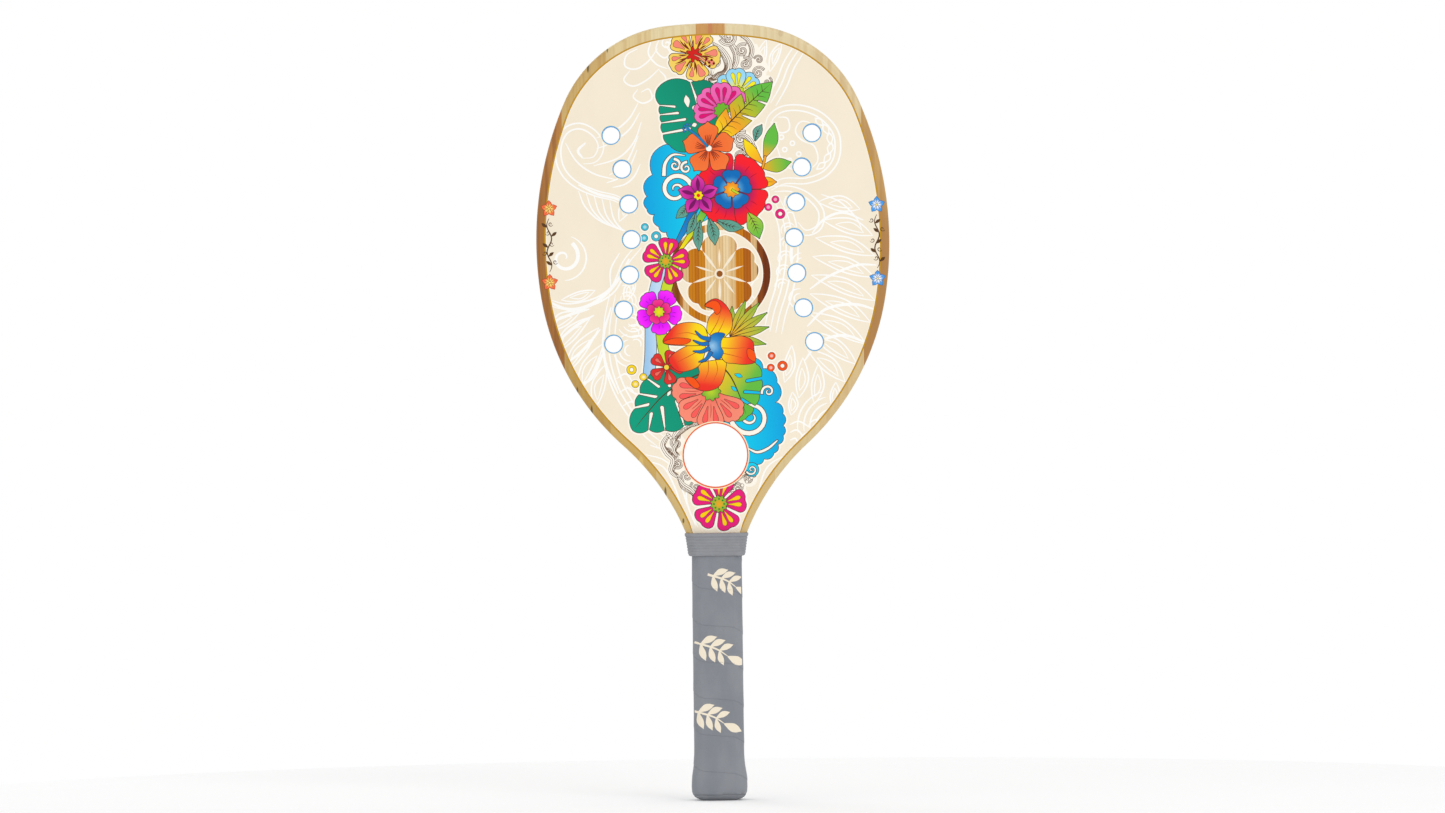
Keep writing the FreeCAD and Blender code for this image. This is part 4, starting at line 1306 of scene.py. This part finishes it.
blue_sleeve = sleeve_material("sleeve_blue", (108, 180, 232))
orange_sleeve = sleeve_material("sleeve_orange", (246, 96, 36))
for side, name in ((-1, "left"), (1, "right")):
    places = [(x, z) for x, z, radius in holes if x * side > 30]
    radius = next(r for x, z, r in holes if x * side > 30)
    piece = lathe("air_sleeves_" + name, places, sleeve_profile(radius, AIR_WALL), blue_sleeve)
    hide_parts("hole_sleeves_" + name)
throat_radius = max(r for x, z, r in holes)
piece = lathe("throat_ring", [(0, THROAT_Z)], sleeve_profile(throat_radius, THROAT_WALL), orange_sleeve, 128)
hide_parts("throat_sleeve")


# ---------------------------------------------------------------- handle

CORE = (14.25, 12.2, 3.4, 2.5)
TAPE = 1.8
TAPE_BOTTOM, TAPE_TOP = 3.9, 160.0
FLARE = [(3.9, 1.35), (7.7, 1.95), (15.5, 1.65), (20.0, 0.85), (24.0, 0.35), (30.0, 0.0)]
LAP, FIRST_SEAM = 23.5, 14.5
# Height of the tape over one lap: (share of the lap, distance out), from a lap's lower edge upward
LAP_PROFILE = [(0, -.15), (.006, .0), (.016, .12), (.033, .18), (.07, .18), (.16, .12), (.3, .06), (.5, .02),
               (.7, 0), (.88, 0), (.95, .02), (.98, -.01), (.992, -.08), (1, -.15)]
CUT = 2 - math.sqrt(2)


ARC_STEPS, SIDE_STEPS = 7, 6


def eight_sided(half_x, half_y, corner, rounding):
    """Rectangle with cut corners and rounded edges, anticlockwise from the right: (x, y) points."""
    tips = [(half_x, -half_y + corner), (half_x, half_y - corner), (half_x - corner, half_y),
            (-half_x + corner, half_y), (-half_x, half_y - corner), (-half_x, -half_y + corner),
            (-half_x + corner, -half_y), (half_x - corner, -half_y)]
    tips = np.array(tips)
    setback = rounding * math.tan(math.radians(22.5))
    points = []
    for i in range(8):
        tip, back, ahead = tips[i], tips[i - 1] - tips[i], tips[(i + 1) % 8] - tips[i]
        back, ahead = back / np.linalg.norm(back), ahead / np.linalg.norm(ahead)
        middle = back + ahead
        centre = tip + middle / np.linalg.norm(middle) * rounding / math.cos(math.radians(22.5))
        start, end = tip + back * setback, tip + ahead * setback
        first = math.atan2(*(start - centre)[::-1])
        for t in np.linspace(0, 1, ARC_STEPS):
            a = first + math.radians(45) * t
            points.append(centre + rounding * np.array([math.cos(a), math.sin(a)]))
        following = tips[(i + 1) % 8] - ahead * setback
        for t in np.linspace(0, 1, SIDE_STEPS + 2)[1:-1]:
            points.append(end + (following - end) * t)
    return np.array(points)


def handle_section(growth):
    half_x, half_y, corner, rounding = CORE
    return eight_sided(half_x + growth, half_y + growth, corner + growth * CUT, rounding + growth)


def flare(z):
    """Growth of the handle toward the butt, blended over its steps."""
    offsets = np.linspace(-2.2, 2.2, 9)
    return np.interp(np.asarray(z)[..., None] + offsets, *zip(*FLARE)).mean(-1)


BASE_SECTION = handle_section(0)
SECTION_GROWTH = handle_section(1) - BASE_SECTION
COLUMNS = len(BASE_SECTION)


def tape_points(columns, z):
    """Points of the tape's outer face in mm, at columns round the handle and heights."""
    share = ((z - FIRST_SEAM) / LAP + columns / COLUMNS) % 1.0
    end = np.clip((z - TAPE_BOTTOM) / 1.6, 0, 1)
    growth = TAPE + flare(z) + np.interp(share, *zip(*LAP_PROFILE)) - 0.75 * (1 - end) ** 2
    column = columns % COLUMNS
    flat_place = BASE_SECTION[column] + SECTION_GROWTH[column] * growth[..., None]
    return np.concatenate([flat_place, z[..., None]], axis=-1)


def wound_tape():
    """The tape's face, row by row along the helix of its laps, with a painted shade factor at each point that is lower
    the deeper the point lies in a seam groove.
    """
    shares = sorted(set([s for s, out in LAP_PROFILE[:-1]] + [.22, .4, .6, .8, .92]))
    laps = int((TAPE_TOP - TAPE_BOTTOM) / LAP) + 3
    levels = np.array([n + s for n in range(-1, laps) for s in shares])
    columns = np.tile(np.arange(COLUMNS + 1), (len(levels), 1))
    z = FIRST_SEAM + LAP * (levels[:, None] - columns / COLUMNS)
    vertices = tape_points(columns, z).reshape(-1, 3)
    out = np.interp(levels % 1.0, *zip(*LAP_PROFILE))
    # Painted shade: 1 on the open face of a lap, falling to 0.4 deep in a seam groove
    shade = np.repeat(np.clip(1 + 1.7 * np.minimum(out, 0), 0.4, 1), COLUMNS + 1)
    corner = (np.arange(len(levels) - 1)[:, None] * (COLUMNS + 1) + np.arange(COLUMNS)).reshape(-1, 1)
    faces = corner + np.array([0, 1, COLUMNS + 2, COLUMNS + 1])
    return vertices, faces.tolist(), shade


def finished_tape(wrap):
    vertices, faces, shade = wound_tape()
    mesh = bpy.data.meshes.new("grip_wrap")
    mesh.from_pydata((np.array(vertices) * MM).tolist(), [], faces)
    # The painted seam shade goes into the point colour that the wrap material reads
    attribute = mesh.color_attributes.new("ink_and_painted_shade", "FLOAT_COLOR", "POINT")
    attribute.data.foreach_set("color", np.repeat(np.array(shade, np.float32), 4))
    work = bmesh.new()
    work.from_mesh(mesh)
    bmesh.ops.remove_doubles(work, verts=work.verts, dist=1e-6)
    for height, way in ((TAPE_BOTTOM, -1), (TAPE_TOP, 1)):
        everything = work.verts[:] + work.edges[:] + work.faces[:]
        bmesh.ops.bisect_plane(work, geom=everything, dist=1e-7, plane_co=(0, 0, height * MM),
                               plane_no=(0, 0, way), clear_outer=True)
    bmesh.ops.recalc_face_normals(work, faces=work.faces)
    work.to_mesh(mesh)
    work.free()
    mesh.polygons.foreach_set("use_smooth", [True] * len(mesh.polygons))
    obj = bpy.data.objects.new("grip_wrap", mesh)
    bpy.context.scene.collection.objects.link(obj)
    mesh.materials.append(wrap)
    thick = obj.modifiers.new("Thickness", "SOLIDIFY")
    thick.thickness, thick.offset, thick.use_rim, thick.use_even_offset = 0.9 * MM, -1, True, True
    return obj


wrap = tape_material()
tape = finished_tape(wrap)
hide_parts("grip_tape")


def front_of_tape(points):
    """Distance of the tape's front face toward the viewer, at points (x, z)."""
    near = np.flatnonzero(BASE_SECTION[:, 1] < 0)
    near = near[np.argsort(BASE_SECTION[near, 0])]
    columns = np.tile(near, (len(points), 1))
    places = tape_points(columns, np.repeat(points[:, 1:], len(near), axis=1))
    return np.array([-np.interp(x, row[:, 0], row[:, 1]) for x, row in zip(points[:, 0], places)])


def sprig(sheet, start, end, leaves, size, colour, bend=2.0):
    """Stem with pairs of leaves and one at its tip."""
    way = np.subtract(end, start)
    length, angle = np.linalg.norm(way), math.degrees(math.atan2(way[1], way[0]))
    local = [(0, 0), (length * .5, bend), (length * .84, bend * .4)]
    stem = smooth(turned(local, angle, start))
    sheet.paint(stroke(stem, 1.5, "tail"), flat(colour))
    for i in range(leaves):
        share = 0.14 + 0.66 * i / leaves
        at = turned([(length * share, bend * math.sin(math.pi * share) * .95)], angle, start)[0]
        reach = size * (1 - 0.3 * share)
        for side in (-1, 1):
            sheet.paint(petal(at, angle + side * 48, reach, reach * .38, "pointed", 0, side * .6), flat(colour))
    sheet.paint(petal(stem[-1], angle, size * .95, size * .46, "pointed", -1), flat(colour))


def grip_mark(name, start, end, leaves, size):
    sheet = Sheet()
    sprig(sheet, start, end, leaves, size, ink(244, 232, 210))
    for side in (-1, 1):
        sheet.paint(np.array([(15.4, 0), (40, 0), (40, 200), (15.4, 200)]) * (side, 1), None)
    return printed(name, sheet, lacquer, 0.06, -0.15, front_of_tape, 0.8, (244, 232, 210))


grip_mark("grip_mark_upper", (-6, 145.5), (16, 134), 3, 11)
grip_mark("grip_mark_middle", (-15, 102), (11, 89.5), 3, 12)
grip_mark("grip_mark_lower", (-17, 58), (8, 46.5), 3, 12)


def stack(name, loops, finish, closed_ring=True):
    """Surface through loops of equal count, closed end to end as a ring, or capped."""
    loops = [np.asarray(loop, float) for loop in loops]
    count = len(loops[0])
    faces = []
    for row in range(len(loops) if closed_ring else len(loops) - 1):
        below, above = row * count, (row + 1) % len(loops) * count
        for i in range(count):
            j = (i + 1) % count
            faces.append((below + i, below + j, above + j, above + i))
    if not closed_ring:
        faces.append(list(range(count))[::-1])
        faces.append([(len(loops) - 1) * count + i for i in range(count)])
    obj = new_object(name, np.vstack(loops) * MM, faces, finish, smooth_shading=True)
    work = bmesh.new()
    work.from_mesh(obj.data)
    bmesh.ops.recalc_face_normals(work, faces=work.faces)
    work.to_mesh(obj.data)
    work.free()
    return obj


COLLAR_BOTTOM, COLLAR_TOP = 157.2, 172.0
RIBS, RIBS_LOW, RIBS_HIGH = 6, 158.4, 169.4
COLLAR_LOW, COLLAR_HIGH = np.array((18.2, 16.0, 4.8, 4.5)), np.array((20.3, 9.4, 4.6, 3.6))


def at_height(outline, z):
    return np.column_stack([outline, np.full(len(outline), z)])


def collar_loop(z, growth):
    share = (z - COLLAR_BOTTOM) / (COLLAR_TOP - COLLAR_BOTTOM)
    half_x, half_y, corner, rounding = COLLAR_LOW + (COLLAR_HIGH - COLLAR_LOW) * share
    return at_height(eight_sided(half_x + growth, half_y + growth, corner + growth * CUT, rounding), z)


def collar(finish):
    """Stretched rubber collar: round ribs, a rolled lip at the top and a soft lower edge."""
    loops = [collar_loop(COLLAR_BOTTOM + 0.02, -1.25), collar_loop(COLLAR_BOTTOM + 0.25, -0.7),
             collar_loop(COLLAR_BOTTOM + 0.7, -0.2)]
    for i in range(RIBS * 8 + 1):
        z = RIBS_LOW + (RIBS_HIGH - RIBS_LOW) * i / (RIBS * 8)
        loops.append(collar_loop(z, 0.05 - 0.34 * abs(math.cos(math.pi * i / 8)) ** 6))
    for z, growth in ((169.6, -.1), (169.8, .14), (170.2, .28), (170.9, .34), (171.4, .28), (171.75, .1),
                      (171.95, -.3)):
        loops.append(collar_loop(z, growth))
    top = eight_sided(19.75, 5.12, 0.5, 0.3)
    bottom = handle_section(TAPE - 0.1)
    loops.append(at_height(top * 0.4 + collar_loop(172.0, -1)[:, :2] * 0.6, 171.9))
    loops.append(at_height(top, 171.6))
    loops.append(at_height(top, 170.6))
    loops.append(at_height(bottom, COLLAR_BOTTOM + 1.6))
    loops.append(at_height(bottom, COLLAR_BOTTOM + 0.1))
    return stack("grip_collar_ribbed", loops, finish)


def end_cap(finish):
    """Rounded underside of the butt, and the skirt that the tape is wound over."""
    loops = []
    for z, scale in ((0.0, .2), (0.0, .56), (0.1, .63), (0.35, .70), (0.8, .775), (1.5, .87), (2.3, .94), (3.1, .98),
                     (3.8, 1.0)):
        loops.append(at_height(handle_section(2.6) * scale, z))
    loops.append(at_height(handle_section(1.35), 3.85))
    for z in (5.0, 7.7, 11.0, 15.5, 19.4):
        loops.append(at_height(handle_section(float(np.interp(z, *zip(*FLARE)))), z))
    return stack("butt_end_cap", loops, finish, closed_ring=False)


collar_rubber = rubber_material("collar_rubber", (140, 142, 147))
cap_plastic = rubber_material("cap_plastic", (126, 129, 135))
for piece, replaced, slot in ((collar(collar_rubber), "grip_collar", "collar"),
                              (end_cap(cap_plastic), "butt_cap", "cap_plastic")):
    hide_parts(replaced)
nails = frame["nodes"]["butt_cap_nails"]
nails.material_slots[0].link = "OBJECT"
nails.material_slots[0].material = steel_material()


# ---------------------------------------------------------------- small motifs across the edge of the print

def edge_flower(sheet, x, z, radius, colour, heart):
    """Open flower with five pointed petals and a pale star inside."""
    dark = tuple(0.42 * c for c in colour)
    shade = glow((x, z), radius, heart, heart, colour, colour)
    for i in range(5):
        sheet.figure(petal((x, z), 90 + 72 * i, radius, radius * .62, "pointed", .2), shade, .32, dark)
    hairlines(sheet, (x, z), [90 + 72 * i for i in range(5)], radius * .2, radius * .7, dark, .4)
    sheet.figure(circle(x, z, radius * .13, 14), flat(ink(255, 226, 120)), .25, dark)


def vine(sheet, x, bottom, top, side):
    """Wavy stem with curling tendrils and small leaves on both sides."""
    brown = flat(ink(88, 58, 30))
    heights = np.linspace(bottom, top, 25)
    path = np.column_stack([x + 1.5 * np.sin((heights - bottom) / (top - bottom) * 4 * math.pi), heights])
    sheet.paint(stroke(path, 0.8), brown)
    for i in range(5):
        at = path[3 + 4 * i + (i > 2)]
        way = side * (1 if i % 2 else -1)
        sheet.paint(petal(at, 90 - 52 * way, 4.6, 2.0, "pointed"), brown)
        curl = spiral(at[0] - way * 2.2, at[1] + 2.2, 1.7, way * 1.1, 200 if way > 0 else -20, .2, 20)
        sheet.paint(stroke(curl, 0.5), brown)


def edge_motif(name, x, colour, heart, side):
    sheet = Sheet()
    vine(sheet, x, 341, 375.5, side)
    for z in (334.3, 381.8):
        edge_flower(sheet, x, z, 5.1, colour, heart)
    return printed(name, sheet, lacquer, THICKNESS / 2 + 0.09, THICKNESS / 2 - 0.05)


for name, x, colour, heart, side in (("left", -105.2, ink(252, 108, 66), ink(255, 226, 120), 1),
                                     ("right", 105.7, ink(70, 160, 240), ink(255, 255, 255), -1)):
    front = edge_motif("edge_motif_front_" + name, x, colour, heart, side)
    turned_round(front, "edge_motif_back_" + name)


# ---------------------------------------------------------------- floor, light and camera

scene = bpy.context.scene


def studio_floor():
    made = material("studio_floor")
    tree = made.node_tree
    drift = noise(tree, stretched(tree, place_in_mm(tree), (0.004, 0.004, 0.004)), 2.0)
    shade = mixed(tree, drift, (0.92, 0.92, 0.92), (0.94, 0.94, 0.94))
    surface(made, shade, 0.9, Specular_IOR_Level=0.1, Emission_Color=(1, 1, 1, 1), Emission_Strength=0.075)
    around = np.linspace(0, 2 * math.pi, 96, endpoint=False)
    points = [(0.6 * math.cos(a), 0.6 * math.sin(a), 0.0) for a in around]
    obj = new_object("studio_floor", points, [list(range(96))], made)
    obj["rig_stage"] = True


def soft_world():
    world = bpy.data.worlds.new("studio")
    world.use_nodes = True
    tree = world.node_tree
    tree.nodes.clear()
    light = node(tree, "Background", {"Color": (1, 1, 1, 1), "Strength": 0.84})
    seen = node(tree, "Background", {"Color": (1, 1, 1, 1), "Strength": 1.0})
    path = tree.nodes.new("ShaderNodeLightPath")
    mix = tree.nodes.new("ShaderNodeMixShader")
    tree.links.new(path.outputs["Is Camera Ray"], mix.inputs[0])
    tree.links.new(light.outputs[0], mix.inputs[1])
    tree.links.new(seen.outputs[0], mix.inputs[2])
    output = tree.nodes.new("ShaderNodeOutputWorld")
    tree.links.new(mix.outputs[0], output.inputs[0])
    scene.world = world


def soft_light(name, place, target, size, power):
    data = bpy.data.lights.new(name, "AREA")
    data.shape, data.size, data.energy = "DISK", size, power
    obj = bpy.data.objects.new(name, data)
    obj.location = place
    obj.rotation_euler = (Vector(target) - Vector(place)).to_track_quat("-Z", "Y").to_euler()
    scene.collection.objects.link(obj)


studio_floor()
soft_world()
soft_light("key", (1.3, -2.4, 1.7), (0, 0, 0.25), 1.6, 15.5)
soft_light("fill_back", (-1.4, 2.4, 1.4), (0, 0, 0.25), 1.6, 12)

camera_data = bpy.data.cameras.new("camera")
camera_data.lens, camera_data.sensor_width, camera_data.clip_end = 200, 36, 50
camera = bpy.data.objects.new("camera", camera_data)
camera.location = (0.0049, -5.17, 0.2532)
camera.rotation_euler = (Matrix.Rotation(math.radians(0.72), 4, "Y") @ Matrix.Rotation(math.radians(90), 4,
                                                                                       "X")).to_euler()
scene.collection.objects.link(camera)
scene.camera = camera
scene.view_settings.view_transform = "Standard"

for obj in list(scene.objects):
    if obj.type == "MESH" and obj.parent is None and "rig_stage" not in obj:
        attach(obj, "root")
